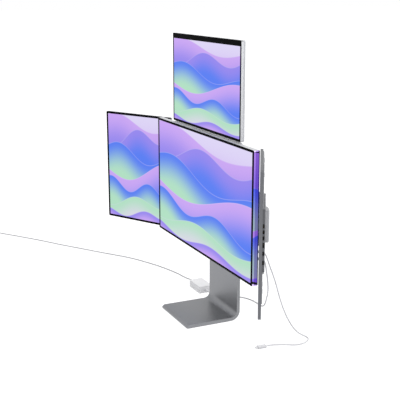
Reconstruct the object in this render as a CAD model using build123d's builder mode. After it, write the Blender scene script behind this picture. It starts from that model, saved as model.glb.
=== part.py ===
from build123d import *
import os
from math import cos, pi, radians, sin, sqrt, tan

# A four-screen extender: a central screen on a bent-sheet stand, a hinged wing at each side,
# a folding screen above, a power brick and the cords. Millimetres, +Z up, the front towards -Y,
# the origin on the desk under the middle of the foot, the central screen's front face at Y = 0.

os.makedirs("parts", exist_ok=True)

# Clearances
pocket_gap = 0.2
apart_gap = 0.3
running_gap = 0.05
press_gap = 0.02
overrun = 2.0

# Stand: one sheet bent into a foot and a pillar
sheet_thickness = 8.5
stand_width = 160.3
foot_front = 75.0
pillar_top_margin = 2.0
inner_bend_radius = 16.0
pillar_corner_radius = 12.0
foot_bevel_length = 6.0
foot_bevel_drop = 4.5
pad_height = 1.0
pad_inset = 1.5
pad_corner_radius = 4.0

# Central screen
main_width = 552.0
main_height = 315.0
main_depth = 15.0
main_bottom = 164.1
main_corner_radius = 3.5
main_back_radius = 1.5
main_wall = 1.2
main_back_wall = 2.0
main_ledge = 8.0
main_glass_thickness = 2.0
main_lcd_thickness = 5.0

# Rear housing with the main board
housing_width = 300.0
housing_height = 180.0
housing_depth = 12.0
housing_wall = 2.0
housing_corner_radius = 14.0
housing_edge_radius = 5.0
vent_width = 3.0
vent_height = 22.0
vent_pitch = 9.0
vents_per_side = 9
vent_inset = 14.0
boss_radius = 5.0
board_thickness = 1.6
board_width = 220.0
board_height = 120.0
board_boss_radius = 3.0
chip_height = 1.8

# Tilt joint between the stand and the central screen
tilt_rise = 0.4
tilt_reach = 17.0
barrel_gap = 1.0
plate_side = 92.0
plate_thickness = 4.0
plate_corner_radius = 8.0
mount_pitch = 75.0
barrel_radius = 11.0
barrel_half_width = 13.0
tilt_pin_radius = 5.0
washer_thickness = 1.3
washer_gap = 0.1
washer_radius = 10.0
ear_thickness = 6.0
clevis_base_width = 80.0
clevis_base_height = 64.0
clevis_base_thickness = 4.3
clevis_screw_pitch_x = 60.0
clevis_screw_pitch_z = 44.0
pin_head_radius = 8.0
pin_head_thickness = 3.5
nut_radius = 8.5
nut_thickness = 4.5
screw_radius = 2.0
screw_head_radius = 3.6
screw_head_height = 2.2
screw_reach = 5.0

# Wings: plan sizes run outward from the hinge axis and backward from it
wing_angle = 29.2
hinge_inset = 14.0
hinge_back = 21.0
wing_tip = 232.5
wing_inner_end = 2.5
wing_depth = 6.6
wing_end_inset = 0.8
wing_corner_radius = 3.5
wing_wall = 1.2
wing_glass_thickness = 1.3
wing_lcd_thickness = 3.2
cover_thickness = 2.2
cover_start = 8.5
cover_end = 151.5
cover_inset = 3.0
cover_edge_radius = 1.2

# Port housing on each wing's back
ports_thickness = 6.1
ports_height = 139.0
ports_drop = 12.1
ports_wall = 1.2
ports_edge_radius = 1.4
port_place_shares = (0.234, 0.140, 0.045, -0.068, -0.198, -0.345)
port_length_shares = (0.062, 0.062, 0.062, 0.079, 0.066, 0.066)
port_width = 3.4
port_clearance = 0.3
port_wall = 0.35
port_depth = 7.2
port_mouth_depth = 5.4
port_board_thickness = 0.8
port_board_inset = 6.0
port_board_length = 96.0
button_length = 14.0
button_thickness = 2.2
button_height = 8.0
button_proud = 5.2
button_end_inset = 4.0
wing_pad_radius = 5.0
wing_pad_thickness = 1.0
wing_pad_reach = 82.5
wing_pad_drop_shares = (0.030, 0.132, 0.920, 0.974)

# Wing hinge
knuckle_radius = 4.0
hinge_pin_radius = 2.0
hinge_pin_head_radius = 3.2
hinge_pin_head_height = 1.5
wing_knuckle_height = 70.0
wing_knuckle_drop = 11.0
strap_thickness = 2.0
strap_inset = 0.2
strap_length = 38.0
hinge_cover_height = 74.0
hinge_cover_thickness = 9.7
hinge_cover_start = 5.0
hinge_cover_slope_length = 19.0
hinge_cover_rim = 1.4
hinge_cover_end = 42.5
hinge_cover_radius = 3.6
bracket_height = 128.0
bracket_flange_reach = 57.0
bracket_web_reach = 22.0
bracket_flange_thickness = 3.0
bracket_web_thickness = 4.0
bracket_leaf_thickness = 3.5
bracket_bend_radius = 2.5

# Upper screen
upper_width = 384.0
upper_height = 229.0
upper_gap = 4.0
upper_front_inset = 5.0
upper_depth = 11.0
upper_frame_depth = 5.5
upper_corner_radius = 4.0
upper_wall = 1.2
upper_glass_thickness = 1.5
upper_back_wall = 1.8
upper_ledge = 7.0
upper_back_radius = 2.0

# Upper hinge
upper_axis_reach = 5.0
upper_axis_drop = 3.1
upper_knuckle_radius = 4.5
upper_pin_radius = 2.2
arm_width = 124.0
arm_thickness = 3.0
arm_start_gap = 6.0
arm_top_inset = 5.1
arm_corner_radius = 5.0
lug_inner = 36.0
lug_outer = 49.5
lug_foot_share = 0.393
leaf_knuckle_inner = 15.0
leaf_thickness = 2.5
leaf_start = 5.7
leaf_height = 46.0

# Rear sockets and the central screen's button
socket_inset = 16.0
socket_drop = 10.6
socket_pitch = 17.0
socket_width = 9.2
socket_height = 3.6
socket_wall = 0.35
socket_floor = 0.6
socket_recess = 0.2
socket_board_width = 26.0
socket_board_height = 38.0
socket_board_thickness = 1.2
socket_board_gap = 0.4
main_button_inset = 76.0
main_button_length = 10.0
main_button_width = 4.2
main_button_height = 8.4
main_button_proud = 1.2

# Power brick
brick_length = 68.0
brick_width = 40.0
brick_height = 20.2
brick_left = -204.0
brick_front = 60.0
brick_seam_height = 8.6
brick_corner_radius = 3.0
brick_edge_radius = 1.2
seam_depth = 0.5
seam_height = 0.6
gland_length = 12.0
gland_height = 9.0
gland_root_radius = 3.6
gland_collar_length = 3.0

# Cords
mains_diameter = 3.6
dc_diameter = 3.4
host_diameter = 3.4
arc_share = 0.45
overmold_length = 14.8
overmold_width = 11.0
overmold_height = 7.0
overmold_radius = 2.4
plug_tip_width = 8.3
plug_tip_height = 2.4
plug_tip_length = 6.0
end_plug_length = 21.0

# Coil of the mains lead's unused length
coil_mid_radius = 21.0
coil_radial_pitch = 4.8
coil_layer_pitch = 4.4
coil_turns_per_layer = 1.75
coil_climb_turns = 0.5
coil_height = 2.6
tie_width = 5.0
tie_thickness = 0.5
tie_gap = 0.2

# Mains plug
relief_length = 28.0
relief_end_radius = 3.6
relief_wall = 0.3
relief_start_gap = 0.25
plug_body_length = 34.0
plug_body_thickness = 13.9
plug_nose_length = 9.0
plug_nose_width = 33.0
plug_edge_radius = 3.0
plug_pin_radius = 2.0
plug_pin_length = 19.0
plug_pin_spread = 18.6

# Central screen's levels
main_centre = main_bottom + main_height / 2
main_top = main_bottom + main_height
main_seat = main_glass_thickness + main_lcd_thickness
main_floor = main_depth - main_back_wall

# Tilt axis, clevis and pillar behind the rear housing
tilt_height = main_centre + tilt_rise
housing_back = main_depth + housing_depth
plate_back = housing_back + plate_thickness
tilt_axis_back = plate_back + tilt_reach
clevis_base_front = tilt_axis_back + barrel_radius + barrel_gap
pillar_front = clevis_base_front + clevis_base_thickness
pillar_top = tilt_height + clevis_base_height / 2 + pillar_top_margin

# Wing hinges, their brackets and the sockets below the right one
hinge_x = main_width / 2 - hinge_inset
hinge_y = main_depth + hinge_back
knuckle_middle = main_centre - wing_knuckle_drop
bracket_bottom = knuckle_middle - bracket_height / 2
bracket_top = knuckle_middle + bracket_height / 2
bracket_web_back = hinge_x - bracket_web_reach
socket_x = hinge_x - socket_inset
socket_heights = (bracket_bottom - socket_drop, bracket_bottom - socket_drop - socket_pitch)
socket_board_back = main_seat + socket_board_gap + socket_board_thickness

# Upper screen and its hinge axis
upper_front = main_depth - upper_front_inset
upper_back = upper_front + upper_depth
upper_bottom = main_top + upper_gap
upper_axis_height = upper_bottom - upper_axis_drop
upper_axis_back = upper_back + upper_axis_reach


def facing(back):
    """The upright plane at Y = back: a sketch is in X and Z and grows towards the front."""
    return Plane.XZ.offset(-back)


def slab(x_range, y_range, z_range, mode=Mode.ADD):
    """A rectangular block between two places on each axis."""
    with BuildSketch(Plane.XY.offset(z_range[0])) as outline:
        with Locations(((x_range[0] + x_range[1]) / 2, (y_range[0] + y_range[1]) / 2)):
            Rectangle(x_range[1] - x_range[0], y_range[1] - y_range[0])
    extrude(outline.sketch, amount=z_range[1] - z_range[0], mode=mode)


def panel(centre_z, width, height, front, back, corner_radius, mode=Mode.ADD):
    """An upright panel with rounded corners, centred on X = 0."""
    with BuildSketch(facing(back)) as outline:
        with Locations((0, centre_z)):
            if corner_radius > 0:
                RectangleRounded(width, height, corner_radius)
            else:
                Rectangle(width, height)
    extrude(outline.sketch, amount=back - front, mode=mode)


def write(piece, node):
    """Label one finished piece and write its file."""
    piece.label = node
    export_step(piece, f"parts/{node}.step")


def write_pair(piece, node):
    """Write a right-hand piece and its mirrored twin."""
    write(piece, f"right_{node}")
    write(mirror(piece, about=Plane.YZ), f"left_{node}")


# Stand bracket
with BuildPart() as stand_bracket:
    foot_bottom = pad_height
    foot_top = foot_bottom + sheet_thickness
    pillar_back = pillar_front + sheet_thickness
    with BuildSketch(Plane.YZ):
        with BuildLine():
            Polyline(
                (-foot_front, foot_bottom),
                (pillar_back, foot_bottom),
                (pillar_back, pillar_top),
                (pillar_front, pillar_top),
                (pillar_front, foot_top),
                (-foot_front, foot_top),
                close=True,
            )
        make_face()
    extrude(amount=stand_width / 2, both=True)
    long_edges = stand_bracket.edges().filter_by(Axis.X)
    fillet(long_edges.sort_by_distance((0, pillar_front, foot_top))[0], radius=inner_bend_radius)
    long_edges = stand_bracket.edges().filter_by(Axis.X)
    outer_bend_radius = inner_bend_radius + sheet_thickness
    fillet(long_edges.sort_by_distance((0, pillar_back, foot_bottom))[0], radius=outer_bend_radius)
    front_edge = stand_bracket.edges().filter_by(Axis.X).sort_by_distance((0, -foot_front, foot_top))[0]
    front_face = stand_bracket.faces().sort_by(Axis.Y)[0]
    chamfer(front_edge, length=foot_bevel_drop, length2=foot_bevel_length, reference=front_face)
    fillet(stand_bracket.edges().filter_by(Axis.Y).group_by(Axis.Z)[-1], radius=pillar_corner_radius)
    clevis_screw_places = [
        (x * clevis_screw_pitch_x / 2, tilt_height + z * clevis_screw_pitch_z / 2)
        for x in (-1, 1)
        for z in (-1, 1)
    ]
    with BuildSketch(facing(pillar_front + screw_reach)):
        with Locations(*clevis_screw_places):
            Circle(screw_radius + press_gap)
    extrude(amount=screw_reach, mode=Mode.SUBTRACT)
write(stand_bracket.part, "stand_bracket")

# Anti-slip sheet under the flat of the foot
with BuildPart() as foot_pad:
    pad_back = pillar_back - outer_bend_radius
    pad_front = pad_inset - foot_front
    with BuildSketch(Plane.XY):
        with Locations((0, (pad_front + pad_back) / 2)):
            RectangleRounded(stand_width - pad_inset * 2, pad_back - pad_front, pad_corner_radius)
    extrude(amount=pad_height)
write(foot_pad.part, "foot_pad")

# Clevis on the pillar
ear_inner = barrel_half_width + washer_gap + washer_thickness + washer_gap
ear_outer = ear_inner + ear_thickness
with BuildPart() as tilt_base:
    with BuildSketch(facing(pillar_front)):
        with Locations((0, tilt_height)):
            RectangleRounded(clevis_base_width, clevis_base_height, plate_corner_radius)
    extrude(amount=clevis_base_thickness)
    with BuildSketch(Plane.YZ.offset(ear_inner)):
        with Locations((tilt_axis_back, tilt_height)):
            Circle(barrel_radius)
        with Locations(((tilt_axis_back + clevis_base_front) / 2, tilt_height)):
            Rectangle(clevis_base_front - tilt_axis_back, barrel_radius * 2)
    extrude(amount=ear_thickness)
    mirror(about=Plane.YZ)
    with BuildSketch(Plane.YZ):
        with Locations((tilt_axis_back, tilt_height)):
            Circle(tilt_pin_radius + press_gap)
    extrude(amount=ear_outer + overrun, both=True, mode=Mode.SUBTRACT)
    with BuildSketch(facing(pillar_front)):
        with Locations(*clevis_screw_places):
            Circle(screw_radius + press_gap)
    extrude(amount=clevis_base_thickness, mode=Mode.SUBTRACT)
write(tilt_base.part, "tilt_base")

# Tilt pin: a shoulder bolt through both ears and the barrel
with BuildPart() as tilt_pin:
    with BuildSketch(Plane.YZ.offset(-ear_outer)):
        with Locations((tilt_axis_back, tilt_height)):
            Circle(tilt_pin_radius)
    extrude(amount=ear_outer * 2 + nut_thickness)
    with BuildSketch(Plane.YZ.offset(-ear_outer - pin_head_thickness)):
        with Locations((tilt_axis_back, tilt_height)):
            Circle(pin_head_radius)
    extrude(amount=pin_head_thickness)
    chamfer(tilt_pin.edges().group_by(Axis.X)[0], length=pin_head_thickness / 4)
write(tilt_pin.part, "tilt_pin")

with BuildPart() as tilt_nut:
    with BuildSketch(Plane.YZ.offset(ear_outer)):
        with Locations((tilt_axis_back, tilt_height)):
            RegularPolygon(nut_radius, 6)
            Circle(tilt_pin_radius + press_gap, mode=Mode.SUBTRACT)
    extrude(amount=nut_thickness)
write(tilt_nut.part, "tilt_nut")

with BuildPart() as tilt_washers:
    with BuildSketch(Plane.YZ.offset(barrel_half_width + washer_gap)):
        with Locations((tilt_axis_back, tilt_height)):
            Circle(washer_radius)
            Circle(tilt_pin_radius + running_gap, mode=Mode.SUBTRACT)
    extrude(amount=washer_thickness)
    mirror(about=Plane.YZ)
write(tilt_washers.part, "tilt_washers")

# Screws through the clevis base into the pillar
with BuildPart() as stand_screws:
    with BuildSketch(facing(clevis_base_front)):
        with Locations(*clevis_screw_places):
            Circle(screw_head_radius)
    extrude(amount=screw_head_height)
    with BuildSketch(facing(pillar_front + screw_reach)):
        with Locations(*clevis_screw_places):
            Circle(screw_radius)
    extrude(amount=screw_reach + clevis_base_thickness)
write(stand_screws.part, "stand_screws")

# Central screen's tray
main_button_place = (main_width / 2 - main_button_inset, (main_seat + main_floor) / 2)
main_pocket_width = main_width - main_wall * 2
main_pocket_height = main_height - main_wall * 2
cavity_width = main_pocket_width - main_ledge * 2
cavity_height = main_pocket_height - main_ledge * 2
with BuildPart() as main_shell:
    panel(main_centre, main_width, main_height, 0, main_depth, main_corner_radius)
    fillet(main_shell.faces().sort_by(Axis.Y)[-1].edges(), radius=main_back_radius)
    pocket_radius = main_corner_radius - main_wall
    panel(main_centre, main_pocket_width, main_pocket_height, 0, main_seat, pocket_radius, Mode.SUBTRACT)
    panel(main_centre, cavity_width, cavity_height, main_seat, main_floor, 0, Mode.SUBTRACT)
    with BuildSketch(facing(main_depth)):
        with Locations(*[(socket_x, height) for height in socket_heights]):
            SlotOverall(socket_width + pocket_gap * 2, socket_height + pocket_gap * 2)
    extrude(amount=main_back_wall, mode=Mode.SUBTRACT)
    with BuildSketch(Plane.XY.offset(main_bottom)):
        with Locations(main_button_place):
            SlotOverall(main_button_length + pocket_gap * 2, main_button_width + pocket_gap * 2)
    extrude(amount=main_wall + main_ledge, mode=Mode.SUBTRACT)
    socket_middle = sum(socket_heights) / 2
    boss_spread = socket_board_height / 2 - board_boss_radius
    with BuildSketch(facing(main_floor)):
        with Locations(*[(socket_x, socket_middle + side * boss_spread) for side in (-1, 1)]):
            Circle(board_boss_radius)
    extrude(amount=main_floor - socket_board_back)
write(main_shell.part, "main_shell")

with BuildPart() as main_glass:
    glass_width = main_pocket_width - pocket_gap * 2
    glass_height = main_pocket_height - pocket_gap * 2
    panel(main_centre, glass_width, glass_height, 0, main_glass_thickness, pocket_radius)
write(main_glass.part, "main_glass")

with BuildPart() as main_lcd:
    panel(main_centre, glass_width, glass_height, main_glass_thickness, main_seat, pocket_radius)
write(main_lcd.part, "main_lcd")

# Sockets for the power and host plugs, on their own small board
with BuildPart() as rear_sockets:
    with BuildSketch(facing(socket_board_back)):
        with Locations((socket_x, socket_middle)):
            Rectangle(socket_board_width, socket_board_height)
    extrude(amount=socket_board_thickness)
    with BuildSketch(facing(main_depth - socket_recess)):
        with Locations(*[(socket_x, height) for height in socket_heights]):
            SlotOverall(socket_width, socket_height)
    extrude(amount=main_depth - socket_recess - socket_board_back)
    with BuildSketch(facing(main_depth - socket_recess)):
        with Locations(*[(socket_x, height) for height in socket_heights]):
            SlotOverall(socket_width - socket_wall * 2, socket_height - socket_wall * 2)
    extrude(amount=main_depth - socket_recess - socket_board_back - socket_floor, mode=Mode.SUBTRACT)
write(rear_sockets.part, "rear_sockets")

with BuildPart() as main_button:
    with BuildSketch(Plane.XY.offset(main_bottom - main_button_proud)):
        with Locations(main_button_place):
            SlotOverall(main_button_length, main_button_width)
    extrude(amount=main_button_height)
    fillet(main_button.edges().group_by(Axis.Z)[0], radius=main_button_proud / 3)
write(main_button.part, "main_button")

# Rear housing: a shallow vented cover over the main board
housing_floor = housing_back - housing_wall
mount_places = [
    (x * mount_pitch / 2, tilt_height + z * mount_pitch / 2) for x in (-1, 1) for z in (-1, 1)
]
board_back = main_depth + housing_depth / 2
board_corner_x = board_width / 2 - board_boss_radius * 2
board_corner_z = board_height / 2 - board_boss_radius * 2
with BuildPart() as rear_housing:
    panel(tilt_height, housing_width, housing_height, main_depth, housing_back, housing_corner_radius)
    fillet(rear_housing.faces().sort_by(Axis.Y)[-1].edges(), radius=housing_edge_radius)
    inner_width = housing_width - housing_wall * 2
    inner_height = housing_height - housing_wall * 2
    inner_radius = housing_corner_radius - housing_wall
    with BuildSketch(facing(housing_floor)):
        with Locations((0, tilt_height)):
            RectangleRounded(inner_width, inner_height, inner_radius)
    extrude(amount=housing_depth - housing_wall, mode=Mode.SUBTRACT)
    cavity_edges = rear_housing.faces().filter_by(Axis.Y).sort_by(Axis.Y)[-2].outer_wire().edges()
    fillet(cavity_edges, radius=housing_edge_radius - housing_wall)
    with BuildSketch(facing(housing_floor)):
        with Locations(*mount_places):
            Circle(boss_radius)
    extrude(amount=housing_depth - housing_wall)
    with BuildSketch(facing(housing_floor)):
        with Locations((0, tilt_height)):
            with GridLocations(board_corner_x * 2, board_corner_z * 2, 2, 2):
                Circle(board_boss_radius)
    extrude(amount=housing_floor - board_back)
    with BuildSketch(facing(housing_back)):
        with Locations(*mount_places):
            Circle(screw_radius + press_gap)
    extrude(amount=screw_reach, mode=Mode.SUBTRACT)
    vent_middle = tilt_height + housing_height / 2 - vent_inset - vent_height / 2
    vent_span = (vents_per_side - 1) * vent_pitch / 2
    vent_side_x = housing_width / 2 - vent_inset - vent_span - vent_width / 2
    with BuildSketch(facing(housing_back)):
        with Locations((-vent_side_x, vent_middle), (vent_side_x, vent_middle)):
            with GridLocations(vent_pitch, 0, vents_per_side, 1):
                SlotOverall(vent_height, vent_width, rotation=90)
    extrude(amount=housing_wall, mode=Mode.SUBTRACT)
write(rear_housing.part, "rear_housing")

# Main board with its chips, notched around the mount bosses
with BuildPart() as main_board:
    with BuildSketch(facing(board_back)):
        with Locations((0, tilt_height)):
            Rectangle(board_width, board_height)
        with Locations(*mount_places):
            Circle(boss_radius + apart_gap, mode=Mode.SUBTRACT)
    extrude(amount=board_thickness)
    chip_side = board_height / 5
    with BuildSketch(facing(board_back - board_thickness)):
        with Locations((0, tilt_height)):
            with GridLocations(chip_side * 3, chip_side * 2, 3, 2):
                Rectangle(chip_side, chip_side / 2)
    extrude(amount=chip_height)
write(main_board.part, "main_board")

# Mount plate with the barrel that turns on the tilt pin
with BuildPart() as mount_plate:
    panel(tilt_height, plate_side, plate_side, housing_back, plate_back, plate_corner_radius)
    with BuildSketch(Plane.YZ):
        with Locations((tilt_axis_back, tilt_height)):
            Circle(barrel_radius)
        with BuildLine():
            Polyline(
                (plate_back - plate_thickness / 2, tilt_height - barrel_radius * 2),
                (plate_back, tilt_height - barrel_radius * 2),
                (tilt_axis_back, tilt_height - barrel_radius),
                (tilt_axis_back, tilt_height + barrel_radius),
                (plate_back, tilt_height + barrel_radius * 2),
                (plate_back - plate_thickness / 2, tilt_height + barrel_radius * 2),
                close=True,
            )
        make_face()
    extrude(amount=barrel_half_width, both=True)
    with BuildSketch(Plane.YZ):
        with Locations((tilt_axis_back, tilt_height)):
            Circle(tilt_pin_radius + running_gap)
    extrude(amount=barrel_half_width + overrun, both=True, mode=Mode.SUBTRACT)
    with BuildSketch(facing(plate_back)):
        with Locations(*mount_places):
            Circle(screw_radius + press_gap)
    extrude(amount=plate_thickness, mode=Mode.SUBTRACT)
write(mount_plate.part, "mount_plate")

with BuildPart() as mount_screws:
    with BuildSketch(facing(plate_back + screw_head_height)):
        with Locations(*mount_places):
            Circle(screw_head_radius)
    extrude(amount=screw_head_height)
    with BuildSketch(facing(plate_back)):
        with Locations(*mount_places):
            Circle(screw_radius)
    extrude(amount=plate_thickness + screw_reach)
write(mount_screws.part, "mount_screws")

# Wing geometry: x runs outward along the wing, y backward, from the hinge axis
out_x = cos(radians(wing_angle))
out_y = -sin(radians(wing_angle))
wing_plan = Plane(origin=(hinge_x, hinge_y, 0), x_dir=(out_x, out_y, 0), z_dir=(0, 0, 1))
wing_back_axis = Axis((0, 0, 0), (-out_y, out_x, 0))
wing_bottom = main_bottom + wing_end_inset
wing_top = main_top - wing_end_inset
wing_height = wing_top - wing_bottom
strap_back = knuckle_radius - strap_inset
ports_back = strap_back - strap_thickness
wing_back = ports_back - ports_thickness
wing_front = wing_back - wing_depth
wing_seat = wing_front + wing_glass_thickness + wing_lcd_thickness
cover_back = wing_back + cover_thickness
ports_bottom = main_centre - ports_drop - ports_height / 2
ports_top = ports_bottom + ports_height


def wing_block(out_range, back_range, z_range, mode=Mode.ADD):
    """A block in the wing's own plan directions."""
    with BuildSketch(wing_plan.offset(z_range[0])) as outline:
        with Locations(((out_range[0] + out_range[1]) / 2, (back_range[0] + back_range[1]) / 2)):
            Rectangle(out_range[1] - out_range[0], back_range[1] - back_range[0])
    extrude(outline.sketch, amount=z_range[1] - z_range[0], mode=mode)


def wing_end_plane(out):
    """The plane across the wing: a sketch has z as its x and the wing's front as its y."""
    origin = wing_plan.from_local_coords(Vector(out, 0, 0))
    return Plane(origin=origin, x_dir=(0, 0, 1), z_dir=(out_x, out_y, 0))


with BuildPart() as wing_frame:
    wing_block((-wing_inner_end, wing_tip), (wing_front, wing_back), (wing_bottom, wing_top))
    fillet(wing_frame.edges().filter_by(wing_back_axis), radius=wing_corner_radius)
    wing_block(
        (wing_wall - wing_inner_end, wing_tip - wing_wall),
        (wing_front, wing_seat),
        (wing_bottom + wing_wall, wing_top - wing_wall),
        Mode.SUBTRACT,
    )
    pocket_corners = wing_frame.edges().filter_by(wing_back_axis).filter_by(GeomType.LINE)
    fillet(
        [edge for edge in pocket_corners if edge.length < wing_seat - wing_front + press_gap],
        radius=wing_corner_radius - wing_wall,
    )
write_pair(wing_frame.part, "wing_frame")

glass_inset = wing_wall + pocket_gap
glass_out_range = (glass_inset - wing_inner_end, wing_tip - glass_inset)
glass_z_range = (wing_bottom + glass_inset, wing_top - glass_inset)
with BuildPart() as wing_glass:
    wing_block(glass_out_range, (wing_front, wing_front + wing_glass_thickness), glass_z_range)
    fillet(wing_glass.edges().filter_by(wing_back_axis), radius=wing_corner_radius - wing_wall)
write_pair(wing_glass.part, "wing_glass")

with BuildPart() as wing_lcd:
    wing_block(glass_out_range, (wing_front + wing_glass_thickness, wing_seat), glass_z_range)
    fillet(wing_lcd.edges().filter_by(wing_back_axis), radius=wing_corner_radius - wing_wall)
write_pair(wing_lcd.part, "wing_lcd")

# Raised back cover, notched around the port housing
with BuildPart() as wing_cover:
    cover_z_range = (wing_bottom + cover_inset, wing_top - cover_inset)
    wing_block((cover_start, cover_end), (wing_back, cover_back), cover_z_range)
    fillet(wing_cover.edges().filter_by(wing_back_axis), radius=wing_corner_radius)
    fillet(wing_cover.faces().sort_by(wing_back_axis)[-1].edges(), radius=cover_edge_radius)
    notch_z_range = (ports_bottom - pocket_gap, ports_top + pocket_gap)
    notch_start = cover_start + cover_inset - pocket_gap
    wing_block((notch_start, cover_end + overrun), (wing_back, cover_back), notch_z_range, Mode.SUBTRACT)
write_pair(wing_cover.part, "wing_cover")

# Port housing: an open-backed shell with its slots on the outer end
port_centre = wing_back + port_board_thickness + apart_gap + port_width / 2
port_places = [main_centre - ports_drop + share * ports_height for share in port_place_shares]
port_lengths = [share * ports_height for share in port_length_shares]
ports_start = cover_start + cover_inset
button_middle = cover_end - button_end_inset - button_length / 2
button_back = ports_back - ports_wall - pocket_gap - button_thickness / 2
with BuildPart() as port_housing:
    wing_block((ports_start, cover_end), (wing_back, ports_back), (ports_bottom, ports_top))
    fillet(port_housing.edges().filter_by(wing_back_axis), radius=ports_edge_radius)
    fillet(port_housing.faces().sort_by(wing_back_axis)[-1].edges(), radius=ports_edge_radius)
    wing_block(
        (ports_start + ports_wall, cover_end - ports_wall),
        (wing_back, ports_back - ports_wall),
        (ports_bottom + ports_wall, ports_top - ports_wall),
        Mode.SUBTRACT,
    )
    with BuildSketch(wing_end_plane(cover_end)):
        for place, length in zip(port_places, port_lengths):
            with Locations((place, -port_centre)):
                SlotOverall(length + port_clearance * 2, port_width + port_clearance * 2)
    extrude(amount=-ports_wall, mode=Mode.SUBTRACT)
    with BuildSketch(wing_plan.offset(ports_bottom)):
        with Locations((button_middle, button_back)):
            SlotOverall(button_length + pocket_gap * 2, button_thickness + pocket_gap * 2)
    extrude(amount=ports_wall, mode=Mode.SUBTRACT)
write_pair(port_housing.part, "port_housing")

# Port board: the board with its sockets soldered on
with BuildPart() as port_board:
    board_end = cover_end - ports_wall - pocket_gap
    board_back_face = wing_back + apart_gap + port_board_thickness
    wing_block(
        (board_end - port_board_length, board_end - port_board_inset),
        (wing_back + apart_gap, board_back_face),
        (ports_bottom + button_height, ports_top - port_board_inset),
    )
    with BuildSketch(wing_end_plane(board_end)):
        for place, length in zip(port_places, port_lengths):
            with Locations((place, -port_centre)):
                SlotOverall(length, port_width)
    extrude(amount=-port_depth)
    with BuildSketch(wing_end_plane(board_end)):
        for place, length in zip(port_places, port_lengths):
            with Locations((place, -port_centre)):
                SlotOverall(length - port_wall * 2, port_width - port_wall * 2)
    extrude(amount=-port_mouth_depth, mode=Mode.SUBTRACT)
write_pair(port_board.part, "port_board")

with BuildPart() as wing_button:
    with BuildSketch(wing_plan.offset(ports_bottom - button_proud)):
        with Locations((button_middle, button_back)):
            SlotOverall(button_length, button_thickness)
    extrude(amount=button_height)
    fillet(wing_button.edges().group_by(Axis.Z)[0], radius=button_thickness / 4)
write_pair(wing_button.part, "wing_button")

with BuildPart() as wing_pads:
    pad_plane = Plane(
        origin=wing_plan.from_local_coords(Vector(0, cover_back, 0)),
        x_dir=(out_x, out_y, 0),
        z_dir=(-out_y, out_x, 0),
    )
    with BuildSketch(pad_plane):
        pad_drops = [share * wing_height for share in wing_pad_drop_shares]
        with Locations(*[(wing_pad_reach, drop - wing_top) for drop in pad_drops]):
            Circle(wing_pad_radius)
    extrude(amount=wing_pad_thickness)
    fillet(wing_pads.faces().group_by(SortBy.AREA)[-1].edges(), radius=wing_pad_thickness / 3)
write_pair(wing_pads.part, "wing_pads")

# Wing hinge: knuckle and strap on the wing
with BuildPart() as hinge_leaf:
    with BuildSketch(wing_plan.offset(knuckle_middle - wing_knuckle_height / 2)):
        Circle(knuckle_radius)
        with Locations((strap_length / 2, (ports_back + strap_back) / 2)):
            Rectangle(strap_length, strap_thickness)
        Circle(hinge_pin_radius + running_gap, mode=Mode.SUBTRACT)
    extrude(amount=wing_knuckle_height)
write_pair(hinge_leaf.part, "hinge_leaf")

# Hinge cover: a rounded hood over the strap, sloping down towards the knuckle
with BuildPart() as hinge_cover:
    cover_hood_back = ports_back + hinge_cover_thickness
    with BuildSketch(wing_plan.offset(knuckle_middle - hinge_cover_height / 2)):
        with BuildLine():
            Polyline(
                (hinge_cover_start, ports_back),
                (hinge_cover_end, ports_back),
                (hinge_cover_end, cover_hood_back),
                (hinge_cover_start + hinge_cover_slope_length, cover_hood_back),
                (hinge_cover_start, strap_back + hinge_cover_rim),
                close=True,
            )
        make_face()
    extrude(amount=hinge_cover_height)
    fillet(hinge_cover.faces().sort_by(wing_back_axis)[-1].edges(), radius=hinge_cover_radius)
    wing_block(
        (hinge_cover_start - overrun, strap_length + pocket_gap),
        (ports_back, strap_back + pocket_gap),
        (
            knuckle_middle - wing_knuckle_height / 2 - pocket_gap,
            knuckle_middle + wing_knuckle_height / 2 + pocket_gap,
        ),
        Mode.SUBTRACT,
    )
write_pair(hinge_cover.part, "hinge_cover")

# Wing bracket on the central screen's back: flange, web and leaf with two knuckles
bracket_flange_start = hinge_x - bracket_flange_reach
bracket_web_front = bracket_web_back - bracket_web_thickness
bracket_flange_back = main_depth + bracket_flange_thickness
leaf_back = hinge_y + knuckle_radius
leaf_front = leaf_back - bracket_leaf_thickness
with BuildPart() as wing_bracket:
    with BuildSketch(Plane.XY.offset(bracket_bottom)):
        with BuildLine():
            Polyline(
                (bracket_flange_start, main_depth),
                (bracket_web_back, main_depth),
                (bracket_web_back, leaf_front),
                (hinge_x, leaf_front),
                (hinge_x, leaf_back),
                (bracket_web_front, leaf_back),
                (bracket_web_front, bracket_flange_back),
                (bracket_flange_start, bracket_flange_back),
                close=True,
            )
        make_face()
        with Locations((hinge_x, hinge_y)):
            Circle(knuckle_radius)
            Circle(hinge_pin_radius + press_gap, mode=Mode.SUBTRACT)
    extrude(amount=bracket_height)
    upright_edges = wing_bracket.edges().filter_by(Axis.Z)
    flange_bend = (bracket_web_front, bracket_flange_back, knuckle_middle)
    fillet(upright_edges.sort_by_distance(flange_bend)[0], radius=bracket_bend_radius)
    upright_edges = wing_bracket.edges().filter_by(Axis.Z)
    leaf_bend = (bracket_web_front, leaf_back, knuckle_middle)
    fillet(upright_edges.sort_by_distance(leaf_bend)[0], radius=bracket_bend_radius)
    slab(
        (bracket_web_back + bracket_web_thickness, hinge_x + knuckle_radius + overrun),
        (main_depth, leaf_back + overrun),
        (
            knuckle_middle - wing_knuckle_height / 2 - apart_gap,
            knuckle_middle + wing_knuckle_height / 2 + apart_gap,
        ),
        Mode.SUBTRACT,
    )
write_pair(wing_bracket.part, "bracket")

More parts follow.
